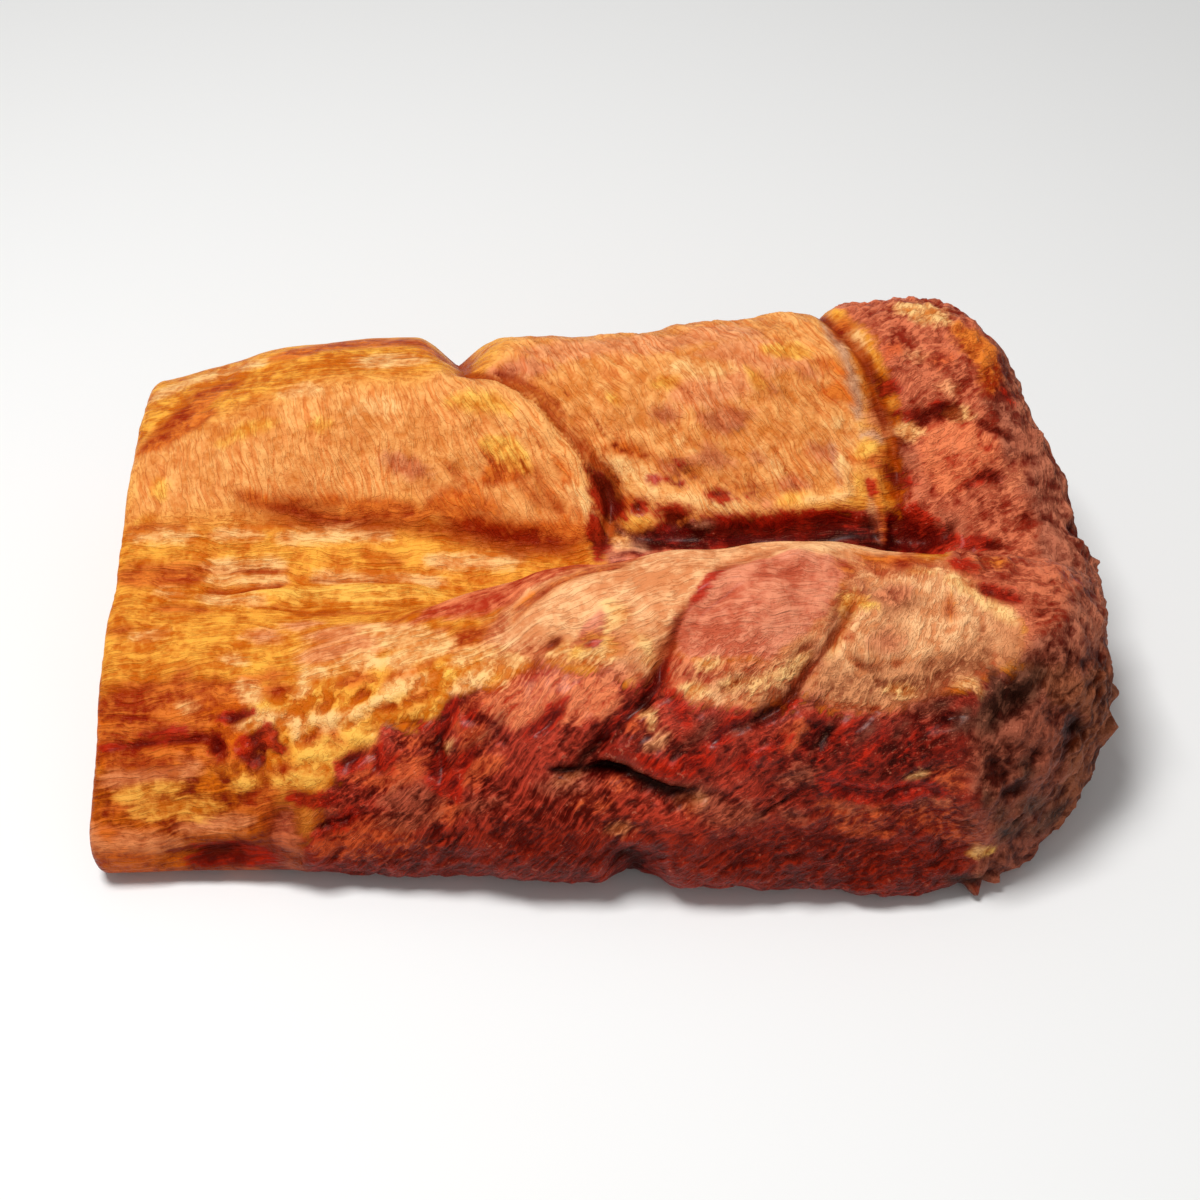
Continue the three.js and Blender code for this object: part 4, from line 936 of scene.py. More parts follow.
        (2.5, [(57, 2.68), (64, 2.62), (70, 2.62)]), (3, [(72, 2.95), (78, 2.98)]),
        (2.4, [(100, 3.15), (103, 3.25), (106, 3.34)]), (2.5, [(101, 3.0), (100.5, 2.85), (101, 2.65)]),
        (3, [(83, 3.05), (84, 2.95), (88, 2.98)]), (2.2, [(90, 3.22), (98, 3.22)]),
        (2.2, [(128, 3.02), (133, 3.1), (137, 3.2)]), (1.8, [(108, 3.15), (112, 3.28)]),
        (1.8, [(166, 3.36), (164, 3.25), (160, 3.15)]),
        (0.9, [(182, 3.79), (175, 3.64), (169, 3.52), (167, 3.4)]),
        (1.5, [(158, 3.12), (152, 3.02), (144, 2.85)]), (2, [(166, 3.2), (170, 3.1), (172, 3.0)]),
        (2.5, [(178, 2.85), (184, 2.93), (190, 3.02)]), (1.6, [(190, 2.95), (198, 3.03), (205, 3.12)]),
        (1.3, [(215, 3.04), (212, 2.9), (208, 2.8)]), (1.4, [(223, 2.93), (227, 3.02)]),
        (3, [(214, 2.62), (225, 2.52), (233, 2.49), (241, 2.53), (250, 2.57), (257, 2.54)]),
        (4, [(240, 5.5), (243, 5.45), (248, 5.42)]), (5.5, [(243, 5.35), (248, 5.3), (252, 5.26)]),
        (3, [(144, 5.57), (148, 5.52), (152, 5.45), (155, 5.38)]), (1.6, [(284, 5.88), (285, 5.77)]),
        (1.2, [(222, 2.98), (216, 2.86), (212, 2.74)]), (1.2, [(236, 2.96), (229, 2.84), (226, 2.72)]),
        (1.2, [(248, 3.0), (242, 2.88), (239, 2.74)]), (1.0, [(203, 2.92), (198, 2.82), (192, 2.7)]),
        (4, [(146, 5.5), (149, 5.45), (151, 5.38)]), (4, [(146, 5.36), (147, 5.28), (147, 5.2)]),
        (3, [(158, 5.41), (161, 5.42)]), (4, [(166, 5.4), (171, 5.38), (176, 5.38)]),
        (3.5, [(167, 5.3), (176, 5.3)]), (1.6, [(171, 5.6), (175, 5.55), (178, 5.53)]),
        (1.5, [(163, 5.52), (170, 5.51), (175, 5.49)]), (1.6, [(182, 5.45), (190, 5.43)]),
        (1.2, [(192, 5.43), (200, 5.46)]),
        (4.5, [(180, 5.26), (190, 5.3), (200, 5.3), (212, 5.3), (222, 5.32), (229, 5.3)]),
        (4, [(176, 5.1), (190, 5.06), (205, 5.1), (220, 5.06), (232, 5.1)]),
        (6, [(241, 5.3), (246, 5.22), (254, 5.2)]), (6, [(242, 5.12), (250, 5.12), (258, 5.14)]),
        (3, [(234, 5.45), (235, 5.4)]), (3.5, [(262, 5.12), (270, 5.1)]),
        (2.2, [(243, 5.7), (248, 5.68), (254, 5.68)]), (2, [(257, 5.72), (262, 5.72)]),
        (1.5, [(266, 5.4), (272, 5.44), (276, 5.42)]), (4, [(240, 5.85), (243, 5.8), (246, 5.78)]),
        (2.5, [(250, 3.92), (256, 3.9)]), (2, [(258, 3.78), (262, 3.74), (268, 3.72)]),
        (2, [(292, 4.0), (288, 4.05)]), (1.2, [(132, 3.53), (136, 3.55)]),
        (1.2, [(143, 3.47), (147, 3.48)]), (2.5, [(252, 3.07), (255, 3.07)]),
        (3, [(112, 3.0), (104, 2.75), (106, 2.6)]), (3, [(66, 2.3), (70, 2.42), (78, 2.5)]),
        (3, [(160, 2.75), (168, 2.7), (178, 2.75)]), (2.4, [(188, 2.7), (196, 2.8)]),
    ],
    "silver": [
        (2.4, [(225, 6.38), (227, 6.23), (229, 6.04), (231, 5.86), (232, 5.7)]),
        (2.4, [(233, 5.62), (239, 5.6)]), (1.2, [(222, 5.62), (224, 5.52), (225, 5.44)]),
        (1.6, [(147, 5.25), (152, 5.22), (158, 5.26), (163, 5.22)]),
        (1.2, [(176, 5.34), (184, 5.31), (192, 5.3)]), (1.4, [(234, 5.38), (236, 5.3), (237, 5.2)]),
    ],
    # Painted shade along the lower rim of the second tan muscle, where it curves under; the rest are dusky
    # patches on it and on the back.
    "dusky": [
        (5, [(211, 3.2), (220, 3.19), (231, 3.2), (242, 3.26), (252, 3.34), (261, 3.43)]),
        (3, [(208, 3.2), (200, 3.16), (192, 3.15)]), (3.5, [(216, 3.3), (212, 3.24)]),
        (2.5, [(222, 3.34), (226, 3.28), (234, 3.28)]), (2.4, [(258, 3.52), (262, 3.44)]),
        (5, [(226, 3.66), (232, 3.62), (238, 3.64)]), (4, [(228, 3.48), (234, 3.46)]),
        (3, [(262, 3.62), (266, 3.5), (265, 3.4)]),
        (3, [(182, 3.19), (192, 3.19), (202, 3.27), (209, 3.38)]),
        (2, [(213, 3.45), (217, 3.58), (219, 3.7)]), (4, [(100, 8.2), (84, 8.3), (66, 8.2)]),
        (5, [(150, 7.6), (172, 7.7), (190, 7.5)]), (4, [(10, 7.9), (24, 8.0), (44, 7.9)]),
        (4, [(196, 8.5), (212, 8.6)]), (5, [(130, 8.7), (150, 8.8)]),
    ],
    "mauve": [
        (3.5, [(168, 3.32), (174, 3.27), (181, 3.25)]), (2.4, [(188, 3.28), (195, 3.28)]),
        (3.5, [(80, 5.66), (88, 5.6), (94, 5.58)]), (4, [(165, 5.8), (172, 5.78)]),
        (4.5, [(180, 5.76), (186, 5.74), (196, 5.76)]), (4.5, [(176, 5.58), (182, 5.6), (189, 5.57)]),
        (3, [(196, 5.6), (202, 5.56)]), (3, [(200, 5.87), (206, 5.84)]), (2.5, [(213, 5.94), (219, 5.9)]),
        (4, [(216, 5.6), (222, 5.55)]), (3, [(205, 5.46), (214, 5.46)]),
        (1.8, [(219, 8.2), (221, 7.4), (224, 6.8), (227, 6.5), (231, 6.24), (236, 5.98), (238, 5.85)]),
        (4, [(237, 5.75), (239, 5.68), (241, 5.65)]), (4, [(245, 5.55), (248, 5.5)]),
        (5, [(55, 2.45), (55, 2.25), (57, 2.0)]), (3.5, [(57, 1.75), (56, 1.55)]),
        (4, [(150, 3.3), (157, 3.33)]), (3, [(146, 5.25), (152, 5.2), (160, 5.15)]),
        (3.5, [(131, 6.18), (118, 6.2), (113, 6.22)]), (3.5, [(222, 3.62), (223, 3.72)]),
        (4, [(228, 3.65), (236, 3.7)]), (4, [(226, 3.42), (233, 3.4)]), (5, [(278, 5.4), (285, 5.5)]),
        (4, [(252, 2.42), (259, 2.42)]), (3, [(64, 2.42), (72, 2.5)]), (3, [(174, 5.55), (168, 5.58)]),
        (2.4, [(197, 5.42), (203, 5.4)]), (2.4, [(162, 5.18), (170, 5.2)]),
    ],
    "bright": [
        (4.5, [(76, 2.88), (86, 2.84), (96, 2.92)]), (3.5, [(106, 3.2), (112, 3.1), (108, 2.98)]),
        (3, [(90, 3.12), (97, 3.1)]), (4.5, [(66, 2.1), (80, 2.06), (96, 2.1)]),
        (3, [(224, 2.2), (240, 2.16)]), (3, [(262, 2.35), (254, 2.28), (246, 2.3)]),
        (5, [(104, 2.8), (110, 2.82), (117, 2.85)]), (2.2, [(115, 3.12), (112, 3.05)]),
        (4, [(68, 2.3), (76, 2.32), (90, 2.28)]), (3.5, [(100, 2.45), (106, 2.5)]),
        (3, [(108, 3.28), (114, 3.32)]), (3, [(150, 2.6), (156, 2.58)]),
        (2.5, [(145, 2.42), (150, 2.45)]), (2.2, [(171, 2.42), (176, 2.4)]),
        (4, [(206, 2.95), (202, 2.88)]), (3.5, [(262, 2.7), (256, 2.66), (262, 2.62)]),
        (2.2, [(250, 3.92), (257, 3.9)]), (2, [(233, 3.88), (238, 3.86)]),
        (2.5, [(154, 3.02), (159, 3.02)]), (5, [(218, 2.38), (228, 2.36), (238, 2.36)]),
        (4, [(258, 2.2), (268, 2.1), (274, 2.0)]), (3, [(76, 3.02), (80, 3.02)]),
        (3.5, [(96, 2.9), (88, 2.85)]), (2.4, [(236, 5.52), (239, 5.48)]),
        (3.5, [(244, 5.95), (249, 6.05)]), (3, [(260, 5.95), (266, 5.95)]),
        (3.5, [(144, 2.5), (140, 2.45)]),
    ],
}
print(sum(len(strokes) for strokes in STROKES.values()), "strokes")

# %% [markdown]
# ## The paint
#
# Streaks on meat are ragged and thin out at their tips. Colour could be kept at the vertices, but then
# its edge is as coarse as the mesh. A distance keeps the edge exact between the vertices.

# %% Laying on the paint
RAGGED = 0.7 * WOBBLE + 0.9 * FINE_WOBBLE
STROKE_RAGGED = 0.35
PAINT_REACH = 12.0
TIP_RADIUS = 0.33


def stroke_distance(radius, path):
    """Radius less the distance from the path, where the radius narrows to a third at both tips."""
    value = np.full(len(POINTS), -PAINT_REACH)
    near = near_path(path, radius + PAINT_REACH)
    if near.any():
        distance, ran, length, _ = nearest_on_path(path, near)
        taper = smooth_step(-0.5, 1.6, np.minimum(ran, length - ran) / radius)
        value[near] = np.maximum(radius * (TIP_RADIUS + (1 - TIP_RADIUS) * taper) - distance, -PAINT_REACH)
    return value


PAINT = {}
for finish in sorted(set(ZONES) | set(STROKES)):
    zones = [zone_distance(outline) + RAGGED for outline in ZONES.get(finish, [])]
    strokes = [stroke_distance(*stroke) + STROKE_RAGGED * RAGGED for stroke in STROKES.get(finish, [])]
    PAINT[finish] = np.clip(np.max(zones + strokes, axis=0), -PAINT_REACH, PAINT_REACH)
PAINT["end"] = np.clip(end_distance + RAGGED, -PAINT_REACH, PAINT_REACH)
print("painted:", {finish: f"{np.mean(value > 0):.0%}" for finish, value in PAINT.items()})

# %% [markdown]
# ## The mesh
#
# The net could be sent to Blender face by face. The arrays go in whole, which takes no time even for a
# hundred thousand faces: quads between the rows, and a fan of triangles to the pole of each end. The mesh
# also gets a map of the skin in metres, along and round the girth, that the fine fibres follow.

# %% The mesh
def close_net(name, points, poles):
    """The net as one closed mesh, and for every face corner its row and its column on the net."""
    vertices = np.concatenate([points, poles])
    grid = np.arange(N_ROWS * N_COLUMNS).reshape(N_ROWS, N_COLUMNS)
    here, following = grid, np.roll(grid, -1, 1)
    quads = np.stack([here[:-1], here[1:], following[1:], following[:-1]], -1).reshape(-1, 4)
    left, right = len(points), len(points) + 1
    left_fan = np.stack([np.full(N_COLUMNS, left), here[0], following[0]], -1)
    right_fan = np.stack([np.full(N_COLUMNS, right), following[-1], here[-1]], -1)
    corners = np.concatenate([quads.ravel(), left_fan.ravel(), right_fan.ravel()])
    sizes = np.concatenate([np.full(len(quads), 4), np.full(2 * N_COLUMNS, 3)])
    mesh = bpy.data.meshes.new(name)
    mesh.vertices.add(len(vertices))
    mesh.vertices.foreach_set("co", (vertices * MM).ravel())
    mesh.loops.add(len(corners))
    mesh.loops.foreach_set("vertex_index", corners)
    mesh.polygons.add(len(sizes))
    mesh.polygons.foreach_set("loop_start", np.concatenate([[0], np.cumsum(sizes)[:-1]]))
    mesh.polygons.foreach_set("use_smooth", np.ones(len(sizes), bool))
    mesh.update(calc_edges=True)
    column = np.arange(N_COLUMNS)
    quad_columns = np.broadcast_to(column[:, None] + [0, 0, 1, 1], (N_ROWS - 1, N_COLUMNS, 4))
    row_of_corner = np.arange(N_ROWS - 1)[:, None, None] + np.array([0, 1, 1, 0])
    quad_rows = np.broadcast_to(row_of_corner, quad_columns.shape)
    left_columns, right_columns = column[:, None] + [0.5, 0, 1], column[:, None] + [0.5, 1, 0]
    columns = np.concatenate([quad_columns.ravel(), left_columns.ravel(), right_columns.ravel()])
    rows = np.concatenate([
        quad_rows.ravel(),
        np.tile([-1, 0, 0], N_COLUMNS),
        np.tile([N_ROWS, N_ROWS - 1, N_ROWS - 1], N_COLUMNS),
    ])
    return mesh, rows, columns


pole_places = skin_points(np.array([ALONG_START, ALONG_END]), np.zeros(2))
ham_mesh, corner_rows, corner_columns = close_net(
    "smoked_ham", SKIN - PLAN_CENTRE, pole_places - PLAN_CENTRE
)
along_at_row = np.concatenate([[ALONG_START], ROWS, [ALONG_END]])
wrap_step = np.linalg.norm(LOFT[:, 0] - LOFT[:, -1], axis=1)[:, None]
girth_closed = np.concatenate([GIRTH_MM, GIRTH_MM[:, -1:] + wrap_step], axis=1)
nearest_row = np.clip(corner_rows, 0, N_ROWS - 1)
corner_girth = girth_closed[nearest_row, corner_columns.astype(int)]
skin_map = np.stack([along_at_row[corner_rows + 1], corner_girth], -1)
ham_mesh.uv_layers.new(name="skin").data.foreach_set("uv", (skin_map * MM).ravel().astype(np.float32))


def keep_on_vertices(name, values):
    """Store one number for every vertex; each pole takes the mean of the ring next to it."""
    ring = values.reshape(N_ROWS, N_COLUMNS)
    whole = np.concatenate([values, [ring[0].mean(), ring[-1].mean()]])
    ham_mesh.attributes.new(name, "FLOAT", "POINT").data.foreach_set("value", whole.astype(np.float32))


for finish, value in PAINT.items():
    keep_on_vertices(finish, value)
for name, share in grain.items():
    keep_on_vertices("grain_" + name, share)
keep_on_vertices("hollow", hollow)
ham = bpy.data.objects.new("smoked_ham", ham_mesh)
bpy.context.scene.collection.objects.link(ham)
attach(ham, "root")
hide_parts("ham")
print("ham:", len(ham_mesh.vertices), "vertices,", len(ham_mesh.polygons), "faces")

# %% [markdown]
# ## Shader maths as expressions
#
# A finish is arithmetic on masks, and long chains of nodes are hard to read. A small class wraps a socket
# and overloads the operators, so that 1 - mask adds its Math node by itself. One method makes every other
# kind of node.

# %% A socket that can be reckoned with
class Link:
    """An output socket of the material being built. Operators on it add Math nodes."""

    tree = None

    def __init__(self, socket):
        self.socket = socket

    @classmethod
    def node(cls, kind, output=0, inputs=None, **settings):
        """Make a node of a kind, set its settings, fill its inputs with values or links, give an output."""
        made = cls.tree.nodes.new(kind)
        for name, value in settings.items():
            setattr(made, name, value)
        for key, value in (inputs or {}).items():
            if isinstance(value, Link):
                cls.tree.links.new(value.socket, made.inputs[key])
            else:
                made.inputs[key].default_value = value
        return cls(made.outputs[output])

    def math(self, operation, other=0.0, swapped=False):
        """A Math node of this socket and another socket or number, in this order or swapped."""
        first, second = (other, self) if swapped else (self, other)
        return Link.node("ShaderNodeMath", inputs={0: first, 1: second}, operation=operation)

    def __add__(self, other):
        return self.math("ADD", other)

    def __sub__(self, other):
        return self.math("SUBTRACT", other)

    def __mul__(self, other):
        return self.math("MULTIPLY", other)

    def __truediv__(self, other):
        return self.math("DIVIDE", other)

    def __rsub__(self, other):
        return self.math("SUBTRACT", other, swapped=True)

    def __abs__(self):
        return self.math("ABSOLUTE")

    __radd__ = __add__
    __rmul__ = __mul__

    def step(self, low, high):
        """0 at low, 1 at high, and smooth between them."""
        ends = {"Value": self, "From Min": low, "From Max": high}
        return Link.node("ShaderNodeMapRange", inputs=ends, interpolation_type="SMOOTHSTEP")


def blend(share, first, second, mode="MIX"):
    """Mix two colours, the second by share."""
    inputs = {0: share, 6: first, 7: second}
    return Link.node("ShaderNodeMix", output=2, inputs=inputs, data_type="RGBA", blend_type=mode)


def noise(vector, scale, detail=2.0, roughness=0.5, dimensions="3D"):
    """Layered noise from 0 to 1, with scale cells for each unit of the vector."""
    inputs = {"Vector": vector, "Scale": scale, "Detail": detail, "Roughness": roughness}
    return Link.node("ShaderNodeTexNoise", inputs=inputs, noise_dimensions=dimensions)


def painted(name):
    """The value that the mesh keeps under this name."""
    return Link.node("ShaderNodeAttribute", output="Fac", attribute_name=name)


# %% [markdown]
# ## The finishes of the meat
#
# Smoked fat is golden amber, rust where the smoke bit and cream where it is thick. Lean meat is deep red,
# salmon or pink, fascia is tan, and the blunt end is a grey-brown crust with charred spots. All of them
# show fibres finer than the mesh could hold, so these are noise in the material, stretched along the
# same grain as the bundles of the mesh.

# %% Fine fibres
meat = bpy.data.materials.new("smoked_meat")
meat.use_nodes = True
Link.tree = meat.node_tree
surface = meat.node_tree.nodes["Principled BSDF"]
place = Link.node("ShaderNodeTexCoord", output="Object")
skin_uv = Link.node("ShaderNodeUVMap", uv_map="skin")
split_u = Link.node("ShaderNodeSeparateXYZ", output=0, inputs={0: skin_uv})
split_v = Link.node("ShaderNodeSeparateXYZ", output=1, inputs={0: skin_uv})
sway = noise(place, 45.0, 3.0) - 0.5
SWAY_ALONG, SWAY_OVER = 12 * MM, 10 * MM


def fine_bundles(angle, across, length, detail=2.0):
    """Noise from about -0.5 to 0.5 in skin coordinates turned by angle degrees, sizes in mm."""
    cosine, sine = float(np.cos(np.radians(angle))), float(np.sin(np.radians(angle)))
    along_grain = split_u * cosine + split_v * sine + sway * SWAY_ALONG
    over_grain = split_v * cosine - split_u * sine + sway * SWAY_OVER
    stretched = Link.node(
        "ShaderNodeCombineXYZ", inputs={0: along_grain / (length * MM), 1: over_grain / (across * MM)}
    )
    return noise(stretched, 1.0, detail, 0.62, dimensions="2D") - 0.5


crumbs = noise(place, 240.0, 3.0, 0.6) - 0.5
shares = {name: painted("grain_" + name) for name in grain}
plain_share = (1 - sum(shares.values())).step(0.0, 1.0)
fibres = (
    fine_bundles(0, 1.8, 12) * plain_share
    + fine_bundles(105, 2.0, 8) * shares["across"] * 0.6
    + fine_bundles(122, 2.2, 11) * shares["falling"] * 0.8
    + fine_bundles(33, 1.5, 4) * shares["rising"]
    + crumbs * (shares["crumbled"] * 0.5 + shares["lumpy"])
    + fine_bundles(20, 1.5, 5) * shares["crumbled"] * 0.8
    + fine_bundles(68, 1.4, 4) * shares["wrinkled"]
    + (fine_bundles(75, 1.9, 4) + crumbs) * shares["upright"] * 0.7
)
back_fat = shares["across"] + shares["falling"]
contrast = 0.9 - plain_share * 0.3 - back_fat * 0.45 + shares["rising"] * 0.1
clouds = noise(place, 60.0, 4.0, 0.55) - 0.5
specks = noise(place, 450.0, 3.0, 0.7) - 0.5
grit = noise(place, 1100.0, 2.0, 0.6) - 0.5
hollow_here = painted("hollow")
gaps = 1 - abs(fibres).step(0.0, 0.03)
long_wrinkles = (
    fine_bundles(116, 2.8, 20, 1.0) * shares["falling"] + fine_bundles(102, 2.6, 18, 1.0) * shares["across"]
)
wrinkle_lines = 1 - abs(long_wrinkles).step(0.0, 0.10)
wrinkles = wrinkle_lines * back_fat.step(0.5, 1.0) * (0.6 + clouds * 3.0).step(0.0, 1.0)

# %% [markdown]
# ## One tone between two colours
#
# Fat and lean are never one colour. Every finish could have its own noise, but then none would share the
# relief. One tone, higher on the fibres and in the clouds and lower in the hollows as painted shade, runs
# from the dark to the light colour of each finish. Early finishes cover whole areas and late ones are the
# strokes on them.

# %% The finishes
cloud_share = 2.0 - shares["rising"] * 0.8 - shares["crumbled"] * 0.4 - back_fat * 0.8
crumb_share = 0.9 - shares["crumbled"] * 0.3
tone = 0.5 + fibres * contrast * 1.7 + clouds * cloud_share + crumbs * crumb_share + specks * 0.9
# Painted shade: the tone falls where the skin lies in a hollow, and falls more between the lumps.
tone = tone - hollow_here * (0.25 + shares["lumpy"] * 0.3)
edge_noise = fibres * 6.0 + clouds * 8.0 + specks * 4.0
AMBER_FAT = (0.58, 0.12, 0.003), (0.97, 0.44, 0.055)
BACK_FAT = (0.66, 0.19, 0.030), (0.96, 0.45, 0.14)
FASCIA = (0.44, 0.075, 0.022), (0.84, 0.30, 0.11)
EARLY_FINISHES = [
    # name, dark colour, light colour, softness of the edge in mm, share of the edge noise, cover
    ("rusty", (0.26, 0.010, 0.001), (0.74, 0.15, 0.006), 3.0, 0.7, 1.0),
    ("ochre", (0.22, 0.016, 0.001), (0.74, 0.18, 0.004), 3.0, 0.7, 1.0),
    ("russet", (0.26, 0.016, 0.005), (0.74, 0.19, 0.085), 2.0, 0.8, 1.0),
    ("lean", (0.075, 0.002, 0.001), (0.54, 0.050, 0.024), 2.0, 1.0, 1.0),
    # Red-brown lower front, partly painted shade where it turns under.
    ("brown", (0.10, 0.002, 0.001), (0.34, 0.020, 0.005), 7.0, 1.0, 0.9),
    ("deep", (0.035, 0.001, 0.001), (0.26, 0.012, 0.005), 4.0, 0.8, 0.9),
    ("end", (0.05, 0.004, 0.002), (0.32, 0.085, 0.045), 3.0, 0.8, 0.95),
    ("upper_end", (0.16, 0.018, 0.009), (0.52, 0.16, 0.085), 4.0, 0.8, 0.95),
    ("salmon", (0.42, 0.028, 0.008), (0.84, 0.22, 0.085), 2.0, 0.6, 1.0),
    ("tan", (0.70, 0.24, 0.085), (1.0, 0.54, 0.25), 1.8, 0.6, 1.0),
    ("pink", (0.54, 0.10, 0.045), (0.82, 0.28, 0.15), 1.2, 0.3, 1.0),
]
LATE_FINISHES = [
    ("tan_streak", (0.62, 0.17, 0.050), (0.94, 0.40, 0.17), 2.6, 0.8, 0.9),
    # Mostly painted shade under the rim of the second tan muscle.
    ("dusky", (0.20, 0.035, 0.012), (0.68, 0.25, 0.10), 3.0, 0.9, 0.9),
    ("silver", (0.36, 0.14, 0.070), (0.74, 0.40, 0.23), 1.6, 0.5, 0.9),
    ("mauve", (0.26, 0.022, 0.010), (0.76, 0.23, 0.10), 2.4, 0.8, 0.75),
    ("rust", (0.34, 0.022, 0.001), (0.78, 0.20, 0.025), 2.2, 0.7, 1.0),
    ("yellow", (0.62, 0.16, 0.005), (1.0, 0.56, 0.10), 2.0, 0.6, 0.9),
    ("pale", (0.66, 0.19, 0.030), (1.0, 0.60, 0.23), 2.0, 0.6, 0.95),
    ("bright", (0.24, 0.008, 0.002), (0.74, 0.13, 0.035), 2.4, 0.8, 0.9),
    ("crust", (0.09, 0.008, 0.003), (0.46, 0.12, 0.06), 2.4, 1.0, 0.65),
    # Deep red juice, partly painted shade in seams and the undercut.
    ("blood", (0.12, 0.002, 0.001), (0.48, 0.015, 0.003), 1.4, 0.8, 0.95),
    ("char", (0.014, 0.005, 0.003), (0.12, 0.045, 0.025), 2.6, 0.9, 0.8),
]


def finish_colour(dark, light):
    """The colour at the tone between the dark and the light colour."""
    return blend(tone.step(0.0, 1.0), (*dark, 1), (*light, 1))


def darken(share, colour, tint):
    """Multiply the colour by the tint, by share."""
    return blend(share, colour, blend(1.0, colour, tint, "MULTIPLY"))


# %% [markdown]
# ## Laying the finishes
#
# On the meat, fascia lies over fat, smoke over both, and juice and painted shade in the seams on top. The
# masks follow that order. Then painted shade darkens the low sides, the creases and the gaps between the
# fibres by multiplying, which keeps their hue; painted glints fleck the red meat, and lean meat gets a thin
# coat of juice on its upper parts.

# %% Laying the finishes
FASCIA_RIM, FASCIA_SOFTNESS = 5.0, 3.0
LOW_SHADE = (0.80, 0.60, 0.48, 1)
CREASE_SHADE_FAT, CREASE_SHADE_LEAN = (0.60, 0.32, 0.24, 1), (0.40, 0.16, 0.14, 1)
GAP_SHADE_FAT, GAP_SHADE_LEAN = (0.78, 0.55, 0.40, 1), (0.45, 0.22, 0.20, 1)
WRINKLE_SHADE = (0.80, 0.44, 0.22, 1)
GLINT_COLOUR = (0.66, 0.20, 0.11, 1)
colour = finish_colour(*AMBER_FAT)
colour = blend(back_fat, colour, finish_colour(*BACK_FAT))
fascia = (painted("tan") + FASCIA_RIM + edge_noise * 0.7).step(-FASCIA_SOFTNESS, FASCIA_SOFTNESS)
colour = blend(fascia, colour, finish_colour(*FASCIA))
masks = {}
for name, dark, light, softness, share, cover in EARLY_FINISHES + LATE_FINISHES:
    masks[name] = (painted(name) + edge_noise * share).step(-softness, softness)
    colour = blend(masks[name] * cover, colour, finish_colour(dark, light))
# Painted shade: the skin is darkened below 60 mm of height, most below 12 mm, except on the blunt end.
height_here = Link.node("ShaderNodeSeparateXYZ", output=2, inputs={0: place})
low = (1 - height_here.step(0.012, 0.060)) * (1 - masks["end"])
colour = darken(low, colour, LOW_SHADE)
red_meat = (masks["lean"] + masks["russet"] + masks["end"]).step(0.2, 1.0)
# Painted shade in the creases and hollows: red-brown on the fat, deeper red on the lean, less where the
# blood finish is already dark.
crease_shade = (hollow_here + crumbs * 0.8).step(0.15, 1.3)
crease_shade_share = crease_shade * (0.9 - masks["blood"] * 0.6)
colour = darken(crease_shade_share, colour, blend(red_meat, CREASE_SHADE_FAT, CREASE_SHADE_LEAN))
# Painted shade in the thin gaps between the fibres.
colour = darken(gaps * 0.5, colour, blend(red_meat, GAP_SHADE_FAT, GAP_SHADE_LEAN))
colour = darken(wrinkles * 0.75, colour, WRINKLE_SHADE)
# Painted glints: light pink flecks on the red meat stand in for small highlights.
painted_glint = (specks + grit * 0.5 + crumbs * 0.4 - hollow_here * 0.05).step(0.16, 0.26) * red_meat
colour = blend(painted_glint * 0.35, colour, GLINT_COLOUR)
surface.inputs["Specular IOR Level"].default_value = 0.13
surface.inputs["Coat Roughness"].default_value = 0.3
surface.inputs["Specular Tint"].default_value = (1.0, 0.45, 0.25, 1)
Link.tree.links.new(colour.socket, surface.inputs["Base Color"])
gloss = 0.44 - masks["lean"] * 0.10 + specks * 0.5 + masks["end"] * 0.2
Link.tree.links.new(gloss.socket, surface.inputs["Roughness"])
juicy = masks["lean"] + masks["blood"] * 0.6 + masks["pink"] * 0.5
wet = juicy * (1 - masks["end"]) * (1 - low) * (0.3 + clouds).step(0.0, 1.6)
Link.tree.links.new(wet.socket, surface.inputs["Coat Weight"])
relief_height = fibres * 0.9 + crumbs * 0.7 + specks * 0.40 - gaps * 0.10
bump = Link.node("ShaderNodeBump", inputs={"Strength": 1.0, "Distance": MM, "Height": relief_height})
Link.tree.links.new(bump.socket, surface.inputs["Normal"])
ham_mesh.materials.append(meat)
print("meat material:", len(meat.node_tree.nodes), "nodes")

# %% [markdown]
# ## The stage
#
# The ham lies on a pale floor under soft studio light. The camera stands in front of it and 45 degrees
# above it, six tenths of a metre away, with a 60 mm lens.

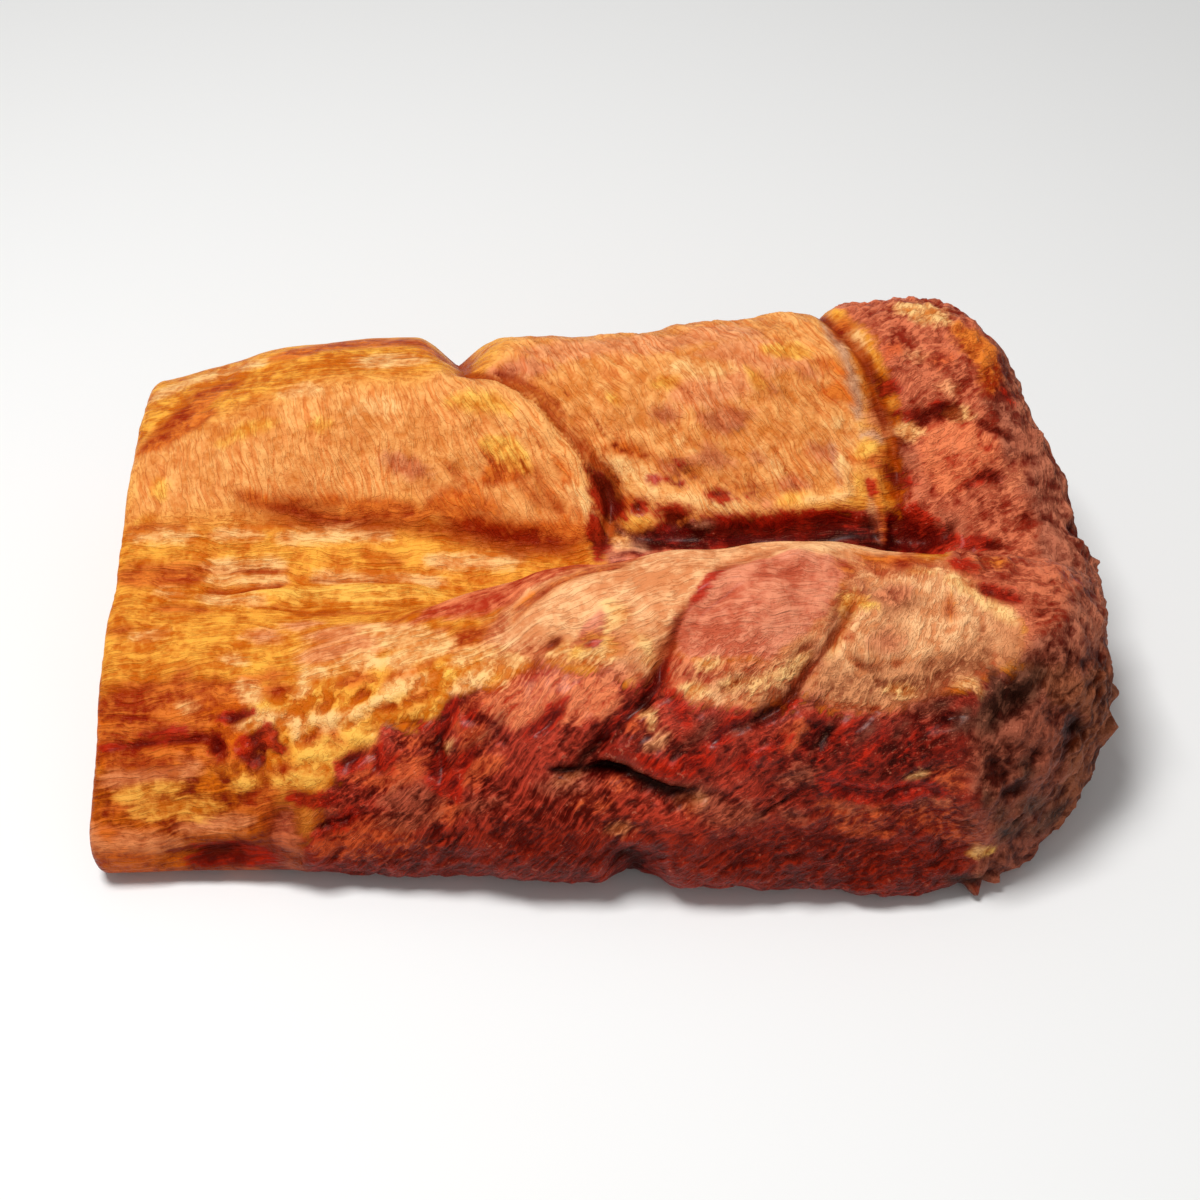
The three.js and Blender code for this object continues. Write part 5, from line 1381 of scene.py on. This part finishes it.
# %% Floor, light and camera
scene = bpy.context.scene
scene.view_settings.view_transform = "Standard"

FLOOR_HALF = 4.0
floor_mesh = bpy.data.meshes.new("floor")
floor_corners = [(x * FLOOR_HALF, y * FLOOR_HALF, 0) for x, y in [(-1, -1), (1, -1), (1, 1), (-1, 1)]]
floor_mesh.from_pydata(floor_corners, [], [(0, 1, 2, 3)])
floor = bpy.data.objects.new("floor", floor_mesh)
scene.collection.objects.link(floor)
floor_finish = bpy.data.materials.new("pale_floor")
floor_finish.use_nodes = True
floor_surface = floor_finish.node_tree.nodes["Principled BSDF"]
floor_surface.inputs["Base Color"].default_value = (0.90, 0.90, 0.89, 1)
floor_surface.inputs["Roughness"].default_value = 0.7
floor_mesh.materials.append(floor_finish)

world = bpy.data.worlds.new("studio")
world.use_nodes = True
world.node_tree.nodes["Background"].inputs["Color"].default_value = (1, 1, 1, 1)
world.node_tree.nodes["Background"].inputs["Strength"].default_value = 0.28
scene.world = world


def softbox(name, place, aim, size, power):
    """A square area light at place that looks at aim, with its size in metres and its power in watts."""
    data = bpy.data.lights.new(name, "AREA")
    data.size = size
    data.energy = power
    light = bpy.data.objects.new(name, data)
    light.location = place
    light.rotation_euler = (Vector(aim) - Vector(place)).to_track_quat("-Z", "Y").to_euler()
    scene.collection.objects.link(light)


LIGHT_AIM = (0, 0, 0.04)
softbox("key_light", (-0.30, -0.10, 1.15), LIGHT_AIM, size=0.35, power=11.8)
softbox("front_light", (0.35, -1.1, 0.7), LIGHT_AIM, size=0.8, power=1)

CAMERA_AIM = (Vector((0, -30, 63)) - Vector(PLAN_CENTRE)) * MM
CAMERA_DISTANCE = 0.6
CAMERA_TILT = np.radians(45)
camera_data = bpy.data.cameras.new("camera")
camera_data.lens = 60
camera_data.sensor_width = 36
camera = bpy.data.objects.new("camera", camera_data)
camera.location = CAMERA_AIM + CAMERA_DISTANCE * Vector((0, -np.sin(CAMERA_TILT), np.cos(CAMERA_TILT)))
camera.rotation_euler = (CAMERA_TILT, 0, 0)
scene.collection.objects.link(camera)
scene.camera = camera
